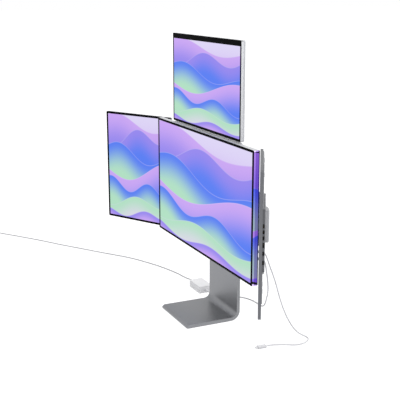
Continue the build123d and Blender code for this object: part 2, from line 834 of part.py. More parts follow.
with BuildPart() as hinge_pin:
    with BuildSketch(Plane.XY.offset(bracket_bottom)):
        with Locations((hinge_x, hinge_y)):
            Circle(hinge_pin_radius)
    extrude(amount=bracket_height)
    with BuildSketch(Plane.XY.offset(bracket_top)):
        with Locations((hinge_x, hinge_y)):
            Circle(hinge_pin_head_radius)
    extrude(amount=hinge_pin_head_height)
write_pair(hinge_pin.part, "hinge_pin")

# Upper screen
upper_centre = upper_bottom + upper_height / 2
upper_seam = upper_front + upper_frame_depth
upper_pocket_width = upper_width - upper_wall * 2
upper_pocket_height = upper_height - upper_wall * 2
upper_pocket_radius = upper_corner_radius - upper_wall
upper_glass_back = upper_front + upper_glass_thickness
upper_cavity_back = upper_back - upper_back_wall
with BuildPart() as upper_frame:
    panel(upper_centre, upper_width, upper_height, upper_front, upper_seam, upper_corner_radius)
    panel(
        upper_centre,
        upper_pocket_width,
        upper_pocket_height,
        upper_front,
        upper_seam,
        upper_pocket_radius,
        Mode.SUBTRACT,
    )
write(upper_frame.part, "upper_frame")

upper_glass_width = upper_pocket_width - pocket_gap * 2
upper_glass_height = upper_pocket_height - pocket_gap * 2
with BuildPart() as upper_glass:
    panel(
        upper_centre,
        upper_glass_width,
        upper_glass_height,
        upper_front,
        upper_glass_back,
        upper_pocket_radius,
    )
write(upper_glass.part, "upper_glass")

with BuildPart() as upper_lcd:
    panel(
        upper_centre,
        upper_glass_width,
        upper_glass_height,
        upper_glass_back,
        upper_seam,
        upper_pocket_radius,
    )
write(upper_lcd.part, "upper_lcd")

with BuildPart() as upper_cover:
    panel(upper_centre, upper_width, upper_height, upper_seam, upper_back, upper_corner_radius)
    fillet(upper_cover.faces().sort_by(Axis.Y)[-1].edges(), radius=upper_back_radius)
    panel(
        upper_centre,
        upper_width - upper_ledge * 2,
        upper_height - upper_ledge * 2,
        upper_seam,
        upper_cavity_back,
        0,
        Mode.SUBTRACT,
    )
write(upper_cover.part, "upper_cover")

# Upper hinge: an arm with two lugs on the central screen's back, a leaf on the upper screen
arm_back = main_depth + arm_thickness
arm_bottom = tilt_height + housing_height / 2 + arm_start_gap
arm_top = main_top - arm_top_inset
arm_height = arm_top - arm_bottom
lug_foot = arm_bottom + lug_foot_share * arm_height
knuckle_front = upper_axis_back - upper_knuckle_radius
with BuildPart() as upper_arm:
    arm_middle = arm_bottom + arm_height / 2
    panel(arm_middle, arm_width, arm_height, main_depth, arm_back, arm_corner_radius)
    with BuildSketch(Plane.YZ.offset(lug_inner)):
        with BuildLine():
            Polyline(
                (main_depth, lug_foot),
                (arm_back, lug_foot),
                (upper_axis_back + upper_knuckle_radius, upper_axis_height),
                (knuckle_front, upper_axis_height),
                (main_depth, arm_top),
                close=True,
            )
        make_face()
        with Locations((upper_axis_back, upper_axis_height)):
            Circle(upper_knuckle_radius)
            Circle(upper_pin_radius + press_gap, mode=Mode.SUBTRACT)
    extrude(amount=lug_outer - lug_inner)
    mirror(about=Plane.YZ)
write(upper_arm.part, "upper_arm")

with BuildPart() as upper_pin:
    with BuildSketch(Plane.YZ):
        with Locations((upper_axis_back, upper_axis_height)):
            Circle(upper_pin_radius)
    extrude(amount=lug_outer, both=True)
write(upper_pin.part, "upper_pin")

with BuildPart() as upper_leaf:
    leaf_back_y = upper_back + leaf_thickness
    leaf_bottom = upper_bottom + leaf_start
    leaf_middle = leaf_bottom + leaf_height / 2
    panel(leaf_middle, lug_outer * 2, leaf_height, upper_back, leaf_back_y, arm_corner_radius)
    with BuildSketch(Plane.YZ.offset(leaf_knuckle_inner)):
        strap_top = leaf_bottom + arm_corner_radius
        strap_middle = (upper_back + leaf_back_y) / 2 + running_gap
        with Locations((strap_middle, (upper_axis_height + strap_top) / 2)):
            Rectangle(leaf_thickness - running_gap * 2, strap_top - upper_axis_height)
        with Locations((upper_axis_back, upper_axis_height)):
            Circle(upper_knuckle_radius)
            Circle(upper_pin_radius + running_gap, mode=Mode.SUBTRACT)
    extrude(amount=lug_inner - apart_gap - leaf_knuckle_inner)
    mirror(about=Plane.YZ)
write(upper_leaf.part, "upper_leaf")

# Power brick in two halves with a fine seam
brick_right = brick_left + brick_length
brick_centre_x = brick_left + brick_length / 2
brick_centre_y = brick_front + brick_width / 2
with BuildPart() as brick_base:
    with BuildSketch(Plane.XY):
        with Locations((brick_centre_x, brick_centre_y)):
            RectangleRounded(brick_length, brick_width, brick_corner_radius)
    extrude(amount=brick_seam_height)
    fillet(brick_base.edges().group_by(Axis.Z)[0], radius=brick_edge_radius)
write(brick_base.part, "brick_base")

with BuildPart() as brick_top:
    with BuildSketch(Plane.XY.offset(brick_seam_height)):
        with Locations((brick_centre_x, brick_centre_y)):
            RectangleRounded(
                brick_length - seam_depth * 2, brick_width - seam_depth * 2, brick_corner_radius - seam_depth
            )
    extrude(amount=seam_height)
    with BuildSketch(Plane.XY.offset(brick_seam_height + seam_height)):
        with Locations((brick_centre_x, brick_centre_y)):
            RectangleRounded(brick_length, brick_width, brick_corner_radius)
    extrude(amount=brick_height - brick_seam_height - seam_height)
    fillet(brick_top.edges().group_by(Axis.Z)[-1], radius=brick_edge_radius)
write(brick_top.part, "brick_top")

# Strain reliefs on both ends of the brick


def gland(face_x, direction, cord_diameter):
    """A stepped, tapering strain relief growing out of one end of the brick."""
    start = Plane(origin=(face_x, brick_centre_y, gland_height), z_dir=(direction, 0, 0))
    with BuildSketch(start) as collar:
        Circle(gland_root_radius)
    extrude(collar.sketch, amount=gland_collar_length)
    with BuildSketch(start.offset(gland_collar_length)) as taper_root:
        Circle(gland_root_radius - seam_height)
    with BuildSketch(start.offset(gland_length)) as taper_tip:
        Circle(cord_diameter / 2 + seam_height)
    loft([taper_root.sketch, taper_tip.sketch])


with BuildPart() as brick_glands:
    gland(brick_left, -1, mains_diameter)
    gland(brick_right, 1, dc_diameter)
write(brick_glands.part, "brick_glands")


def cord_tube(points, diameter, node):
    """Sweep a round cord along straight runs joined by tangent arcs."""
    corners = [Vector(*point) for point in points]
    radii = []
    for before, corner, after in zip(corners, corners[1:], corners[2:]):
        incoming = corner - before
        outgoing = after - corner
        turn = radians(incoming.get_angle(outgoing))
        radii.append(arc_share * min(incoming.length, outgoing.length) / tan(turn / 2))
    with BuildPart() as tube:
        with BuildLine() as route:
            FilletPolyline(*corners, radius=radii)
        with BuildSketch(Plane(origin=route.line @ 0, z_dir=route.line % 0)):
            Circle(diameter / 2)
        sweep()
    length = sum(edge.length for edge in route.edges())
    section_volume = pi * diameter**2 / 4 * length
    print(node, "length", round(length, 1), "smallest radius", round(min(radii), 1))
    print("  radii", [round(radius) for radius in radii])
    print("  volume", round(tube.part.volume, 1), "section times length", round(section_volume, 1))
    write(tube.part, node)
    return length


# Mains lead: from the brick over the desk to its coil
mains_route = [
    (brick_left - gland_length, brick_centre_y, gland_height),
    (-228, brick_centre_y, gland_height),
    (-243, 80.6, 5.6),
    (-262, 80.5, 2.3),
    (-286, 76.5, 2.0),
    (-318, 73.0, 2.0),
    (-356, 63.5, 2.0),
    (-402, 50, 2.0),
    (-452, 30, 2.0),
    (-500, 8.5, 2.0),
    (-543, -17.5, 2.0),
    (-580, -44.5, 2.0),
    (-616, -70, 2.0),
    (-655, -96, 2.0),
    (-702, -127.5, 2.0),
    (-750, -161, 2.0),
    (-800, -191, 2.0),
    (-850, -224, 2.0),
    (-900, -259.5, 2.0),
    (-950, -295.5, 2.0),
    (-994, -329.5, 2.2),
    (-1026, -359, coil_height),
    (-1048, -382, coil_height),
]
mains_length = cord_tube(mains_route, mains_diameter, "mains_lead")

# Coil: two layers wound inward and out again, with the climb in the half turn between them
coil_start = Vector(*mains_route[-1])
coil_heading = (coil_start - Vector(*mains_route[-2])).normalized()
coil_side = Vector(-coil_heading.Y, coil_heading.X, 0)
coil_outer_radius = coil_mid_radius + coil_turns_per_layer * coil_radial_pitch / 2
coil_turns = coil_turns_per_layer * 2 + coil_climb_turns
coil_entry = coil_start + coil_heading * mains_diameter
coil_centre = coil_entry + coil_side * coil_outer_radius


def coil_point(turn):
    """The middle of the cord after so many turns."""
    inward = min(turn, coil_turns_per_layer) * coil_radial_pitch
    outward = max(turn - coil_turns_per_layer - coil_climb_turns, 0) * coil_radial_pitch
    radius = coil_outer_radius - inward + outward
    climb = min(max((turn - coil_turns_per_layer) / coil_climb_turns, 0), 1)
    rise = coil_layer_pitch * climb * climb * (3 - 2 * climb)
    angle = turn * 2 * pi
    spoke = coil_heading * sin(angle) - coil_side * cos(angle)
    return coil_centre + spoke * radius + Vector(0, 0, rise)


def coil_tangent(turn):
    """The cord's direction after so many turns, level at both ends."""
    if turn in (0, coil_turns):
        return coil_heading
    step = coil_climb_turns / 100
    return (coil_point(turn + step) - coil_point(turn - step)).normalized()


def biarc_joint(start, start_tangent, end, end_tangent):
    """The point where two arcs that share a tangent meet between two places."""
    chord = end - start
    both = start_tangent + end_tangent
    spread = 2 * (1 - start_tangent.dot(end_tangent))
    along = chord.dot(both)
    reach = (sqrt(along * along + spread * chord.dot(chord)) - along) / spread
    return (start + end) / 2 + (start_tangent - end_tangent) * (reach / 2)


quarter_turns = round(coil_turns * 4)
with BuildPart() as mains_coil:
    with BuildLine() as coil_route:
        Line(coil_start, coil_entry)
        for quarter in range(quarter_turns):
            arc_start = coil_point(quarter / 4)
            arc_end = coil_point((quarter + 1) / 4)
            start_tangent = coil_tangent(quarter / 4)
            joint = biarc_joint(arc_start, start_tangent, arc_end, coil_tangent((quarter + 1) / 4))
            first = TangentArc(arc_start, joint, tangent=start_tangent)
            TangentArc(joint, arc_end, tangent=first % 1)
        coil_end = coil_point(coil_turns) + coil_heading * mains_diameter
        Line(coil_point(coil_turns), coil_end)
    with BuildSketch(Plane(origin=coil_start, z_dir=coil_heading)):
        Circle(mains_diameter / 2)
    sweep()
coil_samples = [coil_point(step * coil_turns / 400) for step in range(401)]
half_turn_samples = round(400 / coil_turns / 2)
closest = min(
    (coil_samples[one] - coil_samples[other]).length
    for one in range(401)
    for other in range(one + half_turn_samples, 401)
)
coil_length = sum(edge.length for edge in coil_route.edges())
print("coil length", round(coil_length, 1), "least gap to itself", round(closest - mains_diameter, 2))
coil_section_volume = pi * mains_diameter**2 / 4 * coil_length
print("  volume", round(mains_coil.part.volume, 1), "section times length", round(coil_section_volume, 1))
write(mains_coil.part, "mains_coil")

# Tie around both layers, half a turn round from the entry
with BuildPart() as coil_tie:
    half_turns = (0.5, 1.5, coil_turns - 1.5, coil_turns - 0.5)
    tie_radii = [(coil_point(turn) - coil_centre).dot(coil_side) for turn in half_turns]
    tie_inner = min(tie_radii) - mains_diameter / 2 - tie_gap
    tie_outer = max(tie_radii) + mains_diameter / 2 + tie_gap
    tie_low = coil_height - mains_diameter / 2 - tie_gap
    tie_high = coil_height + coil_layer_pitch + mains_diameter / 2 + tie_gap
    tie_plane = Plane(origin=(coil_centre.X, coil_centre.Y, 0), x_dir=coil_side, z_dir=coil_heading)
    tie_middle = ((tie_inner + tie_outer) / 2, (tie_low + tie_high) / 2)
    tie_width_inside = tie_outer - tie_inner
    tie_height_inside = tie_high - tie_low
    with BuildSketch(tie_plane):
        with Locations(tie_middle):
            RectangleRounded(tie_width_inside, tie_height_inside, tie_thickness * 2)
            offset(amount=tie_thickness, kind=Kind.ARC)
            RectangleRounded(tie_width_inside, tie_height_inside, tie_thickness * 2, mode=Mode.SUBTRACT)
    extrude(amount=tie_width / 2, both=True)
write(coil_tie.part, "coil_tie")

# Mains plug beside the coil: strain relief, moulded body and two round pins
plug_start = coil_end + coil_heading * relief_start_gap
plug_plane = Plane(origin=plug_start, x_dir=coil_side, z_dir=coil_heading)
with BuildPart() as mains_plug:
    with BuildSketch(plug_plane):
        Circle(mains_diameter / 2 + relief_wall)
    with BuildSketch(plug_plane.offset(relief_length)):
        Circle(relief_end_radius)
    loft()
    with BuildSketch(plug_plane.offset(relief_length)):
        RectangleRounded(plug_body_thickness, plug_body_thickness, plug_edge_radius)
    with BuildSketch(plug_plane.offset(relief_length + plug_body_length - plug_nose_length)):
        RectangleRounded(plug_nose_width, plug_body_thickness, plug_edge_radius)
    loft()
    with BuildSketch(plug_plane.offset(relief_length + plug_body_length - plug_nose_length)):
        RectangleRounded(plug_nose_width, plug_body_thickness, plug_edge_radius)
    extrude(amount=plug_nose_length)
write(mains_plug.part, "mains_plug")

with BuildPart() as plug_pins:
    with BuildSketch(plug_plane.offset(relief_length + plug_body_length)):
        with Locations((-plug_pin_spread / 2, 0), (plug_pin_spread / 2, 0)):
            Circle(plug_pin_radius)
    extrude(amount=plug_pin_length)
    fillet(plug_pins.faces().group_by(SortBy.AREA)[0].edges(), radius=plug_pin_radius / 3)
write(plug_pins.part, "plug_pins")


def screen_plug(height):
    """An overmoulded plug in one of the rear sockets."""
    with BuildSketch(facing(main_depth + pocket_gap + overmold_length)) as grip:
        with Locations((socket_x, height)):
            RectangleRounded(overmold_width, overmold_height, overmold_radius)
    extrude(grip.sketch, amount=overmold_length)
    with BuildSketch(facing(main_depth + pocket_gap)) as tip:
        with Locations((socket_x, height)):
            SlotOverall(plug_tip_width, plug_tip_height)
    extrude(tip.sketch, amount=plug_tip_length)


with BuildPart() as dc_plug:
    screen_plug(socket_heights[1])
write(dc_plug.part, "dc_plug")

# Low-voltage lead: from the screen's lower socket down behind the pillar to the brick
plug_end = main_depth + pocket_gap + overmold_length
dc_route = [
    (socket_x, plug_end, socket_heights[1]),
    (socket_x, 39.0, socket_heights[1]),
    (246, 47, 213.5),
    (245.6, 51.5, 201),
    (243, 56, 182),
    (235.5, 63.5, 159),
    (217, 76, 133),
    (190, 91, 106),
    (157, 107, 79.5),
    (121, 125, 54),
    (89, 140.5, 33),
    (59, 153, 16.5),
    (32, 162.3, 6.2),
    (7, 167.3, 2.4),
    (-16, 167.5, 1.9),
    (-38, 163, 1.9),
    (-56, 153, 1.9),
    (-70, 138, 1.9),
    (-80, 122, 1.9),
    (-86, 106, 2.6),
    (-91, 93, 5.0),
    (-99.5, 83.5, 7.8),
    (-111, brick_centre_y, gland_height),
    (brick_right + gland_length, brick_centre_y, gland_height),
]
dc_length = cord_tube(dc_route, dc_diameter, "dc_lead")

# Host lead: from the upper socket down to the desk and forward to its plug
host_route = [
    (socket_x, plug_end, socket_heights[0]),
    (socket_x, 39.5, socket_heights[0]),
    (246.6, 48, 230.5),
    (248, 53.5, 218.5),
    (249.3, 60, 199),
    (250, 69.5, 175),
    (250.2, 79, 148),
    (249.5, 87.5, 120),
    (247.5, 98, 92),
    (245, 110, 66),
    (242.8, 124, 42),
    (241.2, 137, 24),
    (241, 149.5, 11.5),
    (243, 160, 5),
    (251, 167, 2.1),
    (262.5, 165.5, 1.9),
    (273, 155, 1.9),
    (280.5, 141, 1.9),
    (283, 126.5, 1.9),
    (279.5, 114, 1.9),
    (272.5, 103, 1.9),
    (266, 91, 1.9),
    (261.8, 77.5, 2.2),
    (259.6, 63.5, 3.6),
    (259.2, 48, 3.6),
]
host_length = cord_tube(host_route, host_diameter, "host_lead")

# Plugs of the host lead: one in the screen, one lying on the desk
with BuildPart() as host_plug:
    screen_plug(socket_heights[0])
write(host_plug.part, "host_plug")

with BuildPart() as host_end_plug:
    end_start = Vector(*host_route[-1])
    end_heading = Vector(host_route[-1][0] - host_route[-2][0], host_route[-1][1] - host_route[-2][1], 0)
    end_plane = Plane(origin=end_start, x_dir=(-end_heading.Y, end_heading.X, 0), z_dir=end_heading)
    with BuildSketch(end_plane):
        RectangleRounded(overmold_width, overmold_height, overmold_radius)
    extrude(amount=end_plug_length)
    with BuildSketch(end_plane.offset(end_plug_length)):
        SlotOverall(plug_tip_width, plug_tip_height)
    extrude(amount=plug_tip_length)
write(host_end_plug.part, "host_end_plug")
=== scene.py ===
import math

import bmesh
import bpy
from bpy.props import FloatProperty, FloatVectorProperty, PointerProperty
from bpy.types import Operator, Panel, PropertyGroup
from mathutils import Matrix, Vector


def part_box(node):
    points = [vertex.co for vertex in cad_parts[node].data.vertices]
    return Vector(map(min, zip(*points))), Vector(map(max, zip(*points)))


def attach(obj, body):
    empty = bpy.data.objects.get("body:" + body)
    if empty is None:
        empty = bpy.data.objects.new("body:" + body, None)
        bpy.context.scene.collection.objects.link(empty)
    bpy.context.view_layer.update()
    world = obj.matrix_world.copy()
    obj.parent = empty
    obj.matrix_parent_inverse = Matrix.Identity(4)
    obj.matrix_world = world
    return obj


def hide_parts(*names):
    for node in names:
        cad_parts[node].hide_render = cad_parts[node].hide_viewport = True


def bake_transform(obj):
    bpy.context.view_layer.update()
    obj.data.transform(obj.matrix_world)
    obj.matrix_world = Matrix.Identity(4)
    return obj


bl_info = {
    "name": "Screen Extender",
    "version": (1, 0, 0),
    "blender": (4, 5, 0),
    "location": "View3D > Sidebar > Extender",
    "description": "Finishes a hinged multi-screen extender, its cords and its stage",
    "category": "Object",
}

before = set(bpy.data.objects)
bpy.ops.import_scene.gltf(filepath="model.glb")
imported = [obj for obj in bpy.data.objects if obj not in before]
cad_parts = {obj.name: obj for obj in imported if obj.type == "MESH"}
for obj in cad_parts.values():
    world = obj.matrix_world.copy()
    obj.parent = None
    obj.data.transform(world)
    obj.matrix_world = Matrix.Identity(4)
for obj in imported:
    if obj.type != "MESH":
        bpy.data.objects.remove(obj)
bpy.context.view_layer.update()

# The right wing at rest, seen from above: its angle, its hinge axis and its own two directions
WING_ANGLE = math.radians(29.2)
HINGE = Vector((0.262, 0.036, 0.0))
OUTWARD = Vector((math.cos(WING_ANGLE), -math.sin(WING_ANGLE), 0.0))
BACKWARD = Vector((math.sin(WING_ANGLE), math.cos(WING_ANGLE), 0.0))

# A wing's glass, in those directions: its inner end, its length and its front face
GLASS_START = -0.0011
GLASS_LENGTH = 0.2322
GLASS_FRONT = -0.0109

# Brush marks that run upright
UPRIGHT_MARKS = (1, 1, 0.02)

# The screws of the rear housing and of the clevis
HEAD_RADIUS = 0.0036
HEAD_HEIGHT = 0.0022
SHANK_RADIUS = 0.002
PLAIN_LENGTH = 0.001
THREAD_PITCH = 0.0007

# The bolt that the central screen tilts on
BOLT_HEAD_HEIGHT = 0.0035
BOLT_RADIUS = 0.005
BOLT_THREAD_LENGTH = 0.0045
BOLT_PITCH = 0.001

# Each port on a wing, top down: the height of its middle and its length
PORTS = (
    (0.34203, 0.00862), (0.32896, 0.00862), (0.31576, 0.00862), (0.30005, 0.01098),
    (0.28198, 0.00917), (0.26155, 0.00917),
)

# The tongues and contacts in the ports, in a wing's own directions: how far out from the hinge
# axis they reach, and how far behind the wing's middle plane they lie, less than 0 in front
TONGUE_REACH = (0.1446, 0.1491)
TONGUE_DEPTH = (-0.00185, -0.00115)
TONGUE_MARGIN = 0.0017
TONGUE_BEVEL = 0.0001
CONTACT_REACH = (0.1452, 0.1487)
CONTACT_DEPTHS = ((-0.0012, -0.0011), (-0.0019, -0.0018))
CONTACT_SHARES = (-0.75, -0.45, -0.15, 0.15, 0.45, 0.75)
CONTACT_HALF_WIDTH = 0.00018
CONTACT_BEVEL = 0.00001

# The light strip between the central and the upper screen: its depth behind the central shell,
# how far it goes below and above the shell's top, and how far inside the upper frame's ends
STRIP_DEPTH = 0.0018
STRIP_FOOT = 0.0029
STRIP_CREST = 0.0018
STRIP_BEVEL = 0.0004
STRIP_INSET = 0.002

# The central shell's polished sides: how far in they start, where the painted reflection of the
# wing's picture starts on them behind the front, and how wide the painted shade at their rear is
POLISH_INSET = 0.0016
PAINTED_REFLECTION_FRONT = 0.003
PAINTED_SHADE_WIDTH = 0.0028

# The cords' routes in metres, from the brick and from the central screen's rear sockets
MAINS_ROUTE = (
    (-0.216, 0.080, 0.009), (-0.228, 0.080, 0.009), (-0.243, 0.0806, 0.0056),
    (-0.262, 0.0805, 0.0023), (-0.286, 0.0765, 0.0020), (-0.318, 0.0730, 0.0020),
    (-0.356, 0.0635, 0.0020), (-0.402, 0.0500, 0.0020), (-0.452, 0.0300, 0.0020),
    (-0.500, 0.0085, 0.0020), (-0.543, -0.0175, 0.0020), (-0.580, -0.0445, 0.0020),
    (-0.616, -0.0700, 0.0020), (-0.655, -0.0960, 0.0020), (-0.702, -0.1275, 0.0020),
    (-0.750, -0.1610, 0.0020), (-0.800, -0.1910, 0.0020), (-0.850, -0.2240, 0.0020),
    (-0.900, -0.2595, 0.0020), (-0.950, -0.2955, 0.0020), (-0.994, -0.3295, 0.0022),
    (-1.026, -0.3590, 0.0026), (-1.048, -0.3820, 0.0026),
)
POWER_ROUTE = (
    (0.246, 0.030, 0.219), (0.246, 0.039, 0.219), (0.246, 0.047, 0.2135),
    (0.2456, 0.0515, 0.201), (0.243, 0.056, 0.182), (0.2355, 0.0635, 0.159),
    (0.217, 0.076, 0.133), (0.190, 0.091, 0.106), (0.157, 0.107, 0.0795),
    (0.121, 0.125, 0.054), (0.089, 0.1405, 0.033), (0.059, 0.153, 0.0165),
    (0.032, 0.1623, 0.0062), (0.007, 0.1673, 0.0024), (-0.016, 0.1675, 0.0019),
    (-0.038, 0.163, 0.0019), (-0.056, 0.153, 0.0019), (-0.070, 0.138, 0.0019),
    (-0.080, 0.122, 0.0019), (-0.086, 0.106, 0.0026), (-0.091, 0.093, 0.0050),
    (-0.0995, 0.0835, 0.0078), (-0.111, 0.080, 0.009), (-0.124, 0.080, 0.009),
)
HOST_ROUTE = (
    (0.246, 0.030, 0.236), (0.246, 0.0395, 0.236), (0.2466, 0.048, 0.2305),
    (0.248, 0.0535, 0.2185), (0.2493, 0.060, 0.199), (0.250, 0.0695, 0.175),
    (0.2502, 0.079, 0.148), (0.2495, 0.0875, 0.120), (0.2475, 0.098, 0.092),
    (0.245, 0.110, 0.066), (0.2428, 0.124, 0.042), (0.2412, 0.137, 0.024),
    (0.241, 0.1495, 0.0115), (0.243, 0.160, 0.005), (0.251, 0.167, 0.0021),
    (0.2625, 0.1655, 0.0019), (0.273, 0.155, 0.0019), (0.2805, 0.141, 0.0019),
    (0.283, 0.1265, 0.0019), (0.2795, 0.114, 0.0019), (0.2725, 0.103, 0.0019),
    (0.266, 0.091, 0.0019), (0.2618, 0.0775, 0.0022), (0.2596, 0.0635, 0.0036),
    (0.2592, 0.048, 0.0036),
)


def linear(red, green, blue):
    """A colour as it is seen on screen, in steps of 255, turned into light."""
    return tuple(
        (value / 255 / 12.92) if value <= 10 else ((value / 255 + 0.055) / 1.055) ** 2.4
        for value in (red, green, blue)
    )


class MetalFinish(PropertyGroup):
    """Colours and surface of the metal parts"""

    stand_colour: FloatVectorProperty(
        name="Stand", description="Colour of the stand's sheet", subtype="COLOR",
        default=linear(138, 139, 142), min=0, max=1,
    )
    frame_colour: FloatVectorProperty(
        name="Central frame", description="Colour of the central screen's frame",
        subtype="COLOR", default=linear(208, 209, 212), min=0, max=1,
    )
    upper_colour: FloatVectorProperty(
        name="Upper frame", description="Colour of the upper screen's frame",
        subtype="COLOR", default=linear(174, 175, 178), min=0, max=1,
    )
    # painted shade: the wings' aluminium is a darker copy of the frames' aluminium, standing in
    # for the shade the wings stand in
    shaded_wing_colour: FloatVectorProperty(
        name="Wings", description="Colour of the wings' frames and port housings",
        subtype="COLOR", default=linear(110, 111, 115), min=0, max=1,
    )
    hinge_colour: FloatVectorProperty(
        name="Hinges", description="Colour of the clevis, the mount and the upper hinge",
        subtype="COLOR", default=linear(150, 151, 154), min=0, max=1,
    )
    steel_colour: FloatVectorProperty(
        name="Steel", description="Colour of pins, nuts and screws", subtype="COLOR",
        default=linear(186, 186, 189), min=0, max=1,
    )
    roughness: FloatProperty(
        name="Roughness", description="How matt the blasted metal is", default=0.42, min=0, max=1,
    )
    grain: FloatProperty(
        name="Grain", description="Size of the blasting's grain", default=0.0006, min=0.0001,
        max=0.01, unit="LENGTH",
    )


class ScreenPicture(PropertyGroup):
    """Black borders and colours of the four screens' picture"""

    bezel: FloatProperty(
        name="Bezel", description="Width of the black border", default=0.0047, min=0, max=0.03,
        unit="LENGTH",
    )
    side_bezel: FloatProperty(
        name="Side bezel", description="Width of the central screen's black border at its sides",
        default=0.0070, min=0, max=0.03, unit="LENGTH",
    )
    top_bezel: FloatProperty(
        name="Upper screen's top bezel", description="Height of the black strip along the top",
        default=0.0118, min=0, max=0.03, unit="LENGTH",
    )
    brightness: FloatProperty(
        name="Brightness", description="How strongly the picture shines", default=1.0,
        min=0, max=3,
    )
    sky_colour: FloatVectorProperty(
        name="Sky", description="Top of the picture", subtype="COLOR",
        default=linear(222, 214, 246), min=0, max=1,
    )
    lavender_colour: FloatVectorProperty(
        name="Lavender", description="Upper waves", subtype="COLOR",
        default=linear(203, 168, 243), min=0, max=1,
    )
    violet_colour: FloatVectorProperty(
        name="Violet", description="Shaded waves", subtype="COLOR",
        default=linear(152, 138, 238), min=0, max=1,
    )
    blue_colour: FloatVectorProperty(
        name="Blue", description="Middle waves", subtype="COLOR",
        default=linear(92, 128, 243), min=0, max=1,
    )
    mint_colour: FloatVectorProperty(
        name="Mint", description="Lower waves", subtype="COLOR",
        default=linear(178, 224, 196), min=0, max=1,
    )
    haze_colour: FloatVectorProperty(
        name="Haze", description="Foot of the picture", subtype="COLOR",
        default=linear(216, 217, 229), min=0, max=1,
    )


class PlasticFinish(PropertyGroup):
    """Colours of the plastic and rubber parts and of the cords"""

    brick_colour: FloatVectorProperty(
        name="Power brick", description="Colour of the power brick", subtype="COLOR",
        default=linear(234, 234, 236), min=0, max=1,
    )
    cord_colour: FloatVectorProperty(
        name="Leads", description="Colour of the screen's two leads and of all plugs",
        subtype="COLOR", default=linear(216, 216, 219), min=0, max=1,
    )
    mains_colour: FloatVectorProperty(
        name="Mains lead", description="Colour of the mains lead", subtype="COLOR",
        default=linear(192, 192, 195), min=0, max=1,
    )
    hood_colour: FloatVectorProperty(
        name="Hinge hoods", description="Colour of the hinge covers and of the rear housing",
        subtype="COLOR", default=linear(188, 189, 192), min=0, max=1,
    )
    cover_colour: FloatVectorProperty(
        name="Upper cover", description="Colour of the upper screen's back cover",
        subtype="COLOR", default=linear(196, 197, 200), min=0, max=1,
    )
    # painted shade: the wings' back covers are a darker copy of the cover plastic, to match the
    # shade on the wings
    shaded_wing_cover_colour: FloatVectorProperty(
        name="Wing covers", description="Colour of the wings' back covers",
        subtype="COLOR", default=linear(146, 147, 150), min=0, max=1,
    )
    rubber_colour: FloatVectorProperty(
        name="Rubber", description="Colour of the foot pad", subtype="COLOR",
        default=linear(40, 40, 42), min=0, max=1,
    )


class CordSizes(PropertyGroup):
    """Diameters of the cords and sizes of the mains lead's coil"""

    mains_diameter: FloatProperty(
        name="Mains lead", description="Diameter of the mains lead", default=0.0036, min=0.001,
        max=0.02, unit="LENGTH",
    )
    lead_diameter: FloatProperty(
        name="Leads", description="Diameter of the two leads at the screen's back",
        default=0.0034, min=0.001, max=0.02, unit="LENGTH",
    )
    coil_radius: FloatProperty(
        name="Coil radius", description="Outer radius of the coil", default=0.0252, min=0.01,
        max=0.2, unit="LENGTH",
    )
    coil_pitch: FloatProperty(
        name="Coil pitch", description="Step between neighbouring turns", default=0.0048,
        min=0.001, max=0.05, unit="LENGTH",
    )
    layer_pitch: FloatProperty(
        name="Layer pitch", description="Step between the coil's two layers", default=0.0044,
        min=0.001, max=0.05, unit="LENGTH",
    )


class StageSettings(PropertyGroup):
    """Camera, lamps and surrounding light"""

    camera_place: FloatVectorProperty(
        name="Camera", description="Where the camera stands", subtype="TRANSLATION",
        default=(1.8851, -0.8851, 0.8242),
    )
    camera_turn: FloatProperty(
        name="Turn", description="Heading of the camera from straight back, leftward",
        subtype="ANGLE", default=math.radians(64.8936),
    )
    camera_dip: FloatProperty(
        name="Dip", description="How far the camera looks down", subtype="ANGLE",
        default=math.radians(13.9805),
    )
    lens: FloatProperty(
        name="Lens", description="Focal length in millimetres", default=76.527, min=10, max=500,
    )
    lamp_power: FloatProperty(
        name="Overhead lamp", description="Power of the soft overhead lamp", default=10.0, min=0,
        max=2000, subtype="POWER",
    )
    front_power: FloatProperty(
        name="Front lamp", description="Power of the soft lamp at the front", default=18.0, min=0,
        max=2000, subtype="POWER",
    )
    side_power: FloatProperty(
        name="Side lamp", description="Power of the soft lamp behind on the right", default=14.0,
        min=0, max=2000, subtype="POWER",
    )
    right_power: FloatProperty(
        name="Right lamp", description="Power of the soft lamp high on the right", default=12.0,
        min=0, max=2000, subtype="POWER",
    )
    ambient: FloatProperty(
        name="Ambient", description="Light from low all round", default=0.16, min=0, max=2,
    )
    ceiling: FloatProperty(
        name="Ceiling", description="Light from straight above", default=1.02, min=0, max=4,
    )


class Wire:
    """One output of a shader node; arithmetic on it adds Math nodes."""

    def __init__(self, graph, socket):
        self.graph = graph
        self.socket = socket

    def maths(self, operation, *others):
        """A Math node with this output as its first value."""
        values = dict(enumerate((self, *others)))
        return self.graph.add("ShaderNodeMath", {"operation": operation}, values)[0]

    def __add__(self, other):
        return self.maths("ADD", other)

    def __sub__(self, other):
        return self.maths("SUBTRACT", other)

    def __mul__(self, other):
        return self.maths("MULTIPLY", other)

    def __truediv__(self, other):
        return self.maths("DIVIDE", other)

    def __rsub__(self, other):
        values = {0: other, 1: self}
        return self.graph.add("ShaderNodeMath", {"operation": "SUBTRACT"}, values)[0]

    def __gt__(self, other):
        return self.maths("GREATER_THAN", other)

    def __lt__(self, other):
        return self.maths("LESS_THAN", other)


class Outputs:
    """The outputs of one node, by name or number."""

    def __init__(self, graph, node):
        self.graph = graph
        self.node = node

    def __getitem__(self, key):
        return Wire(self.graph, self.node.outputs[key])


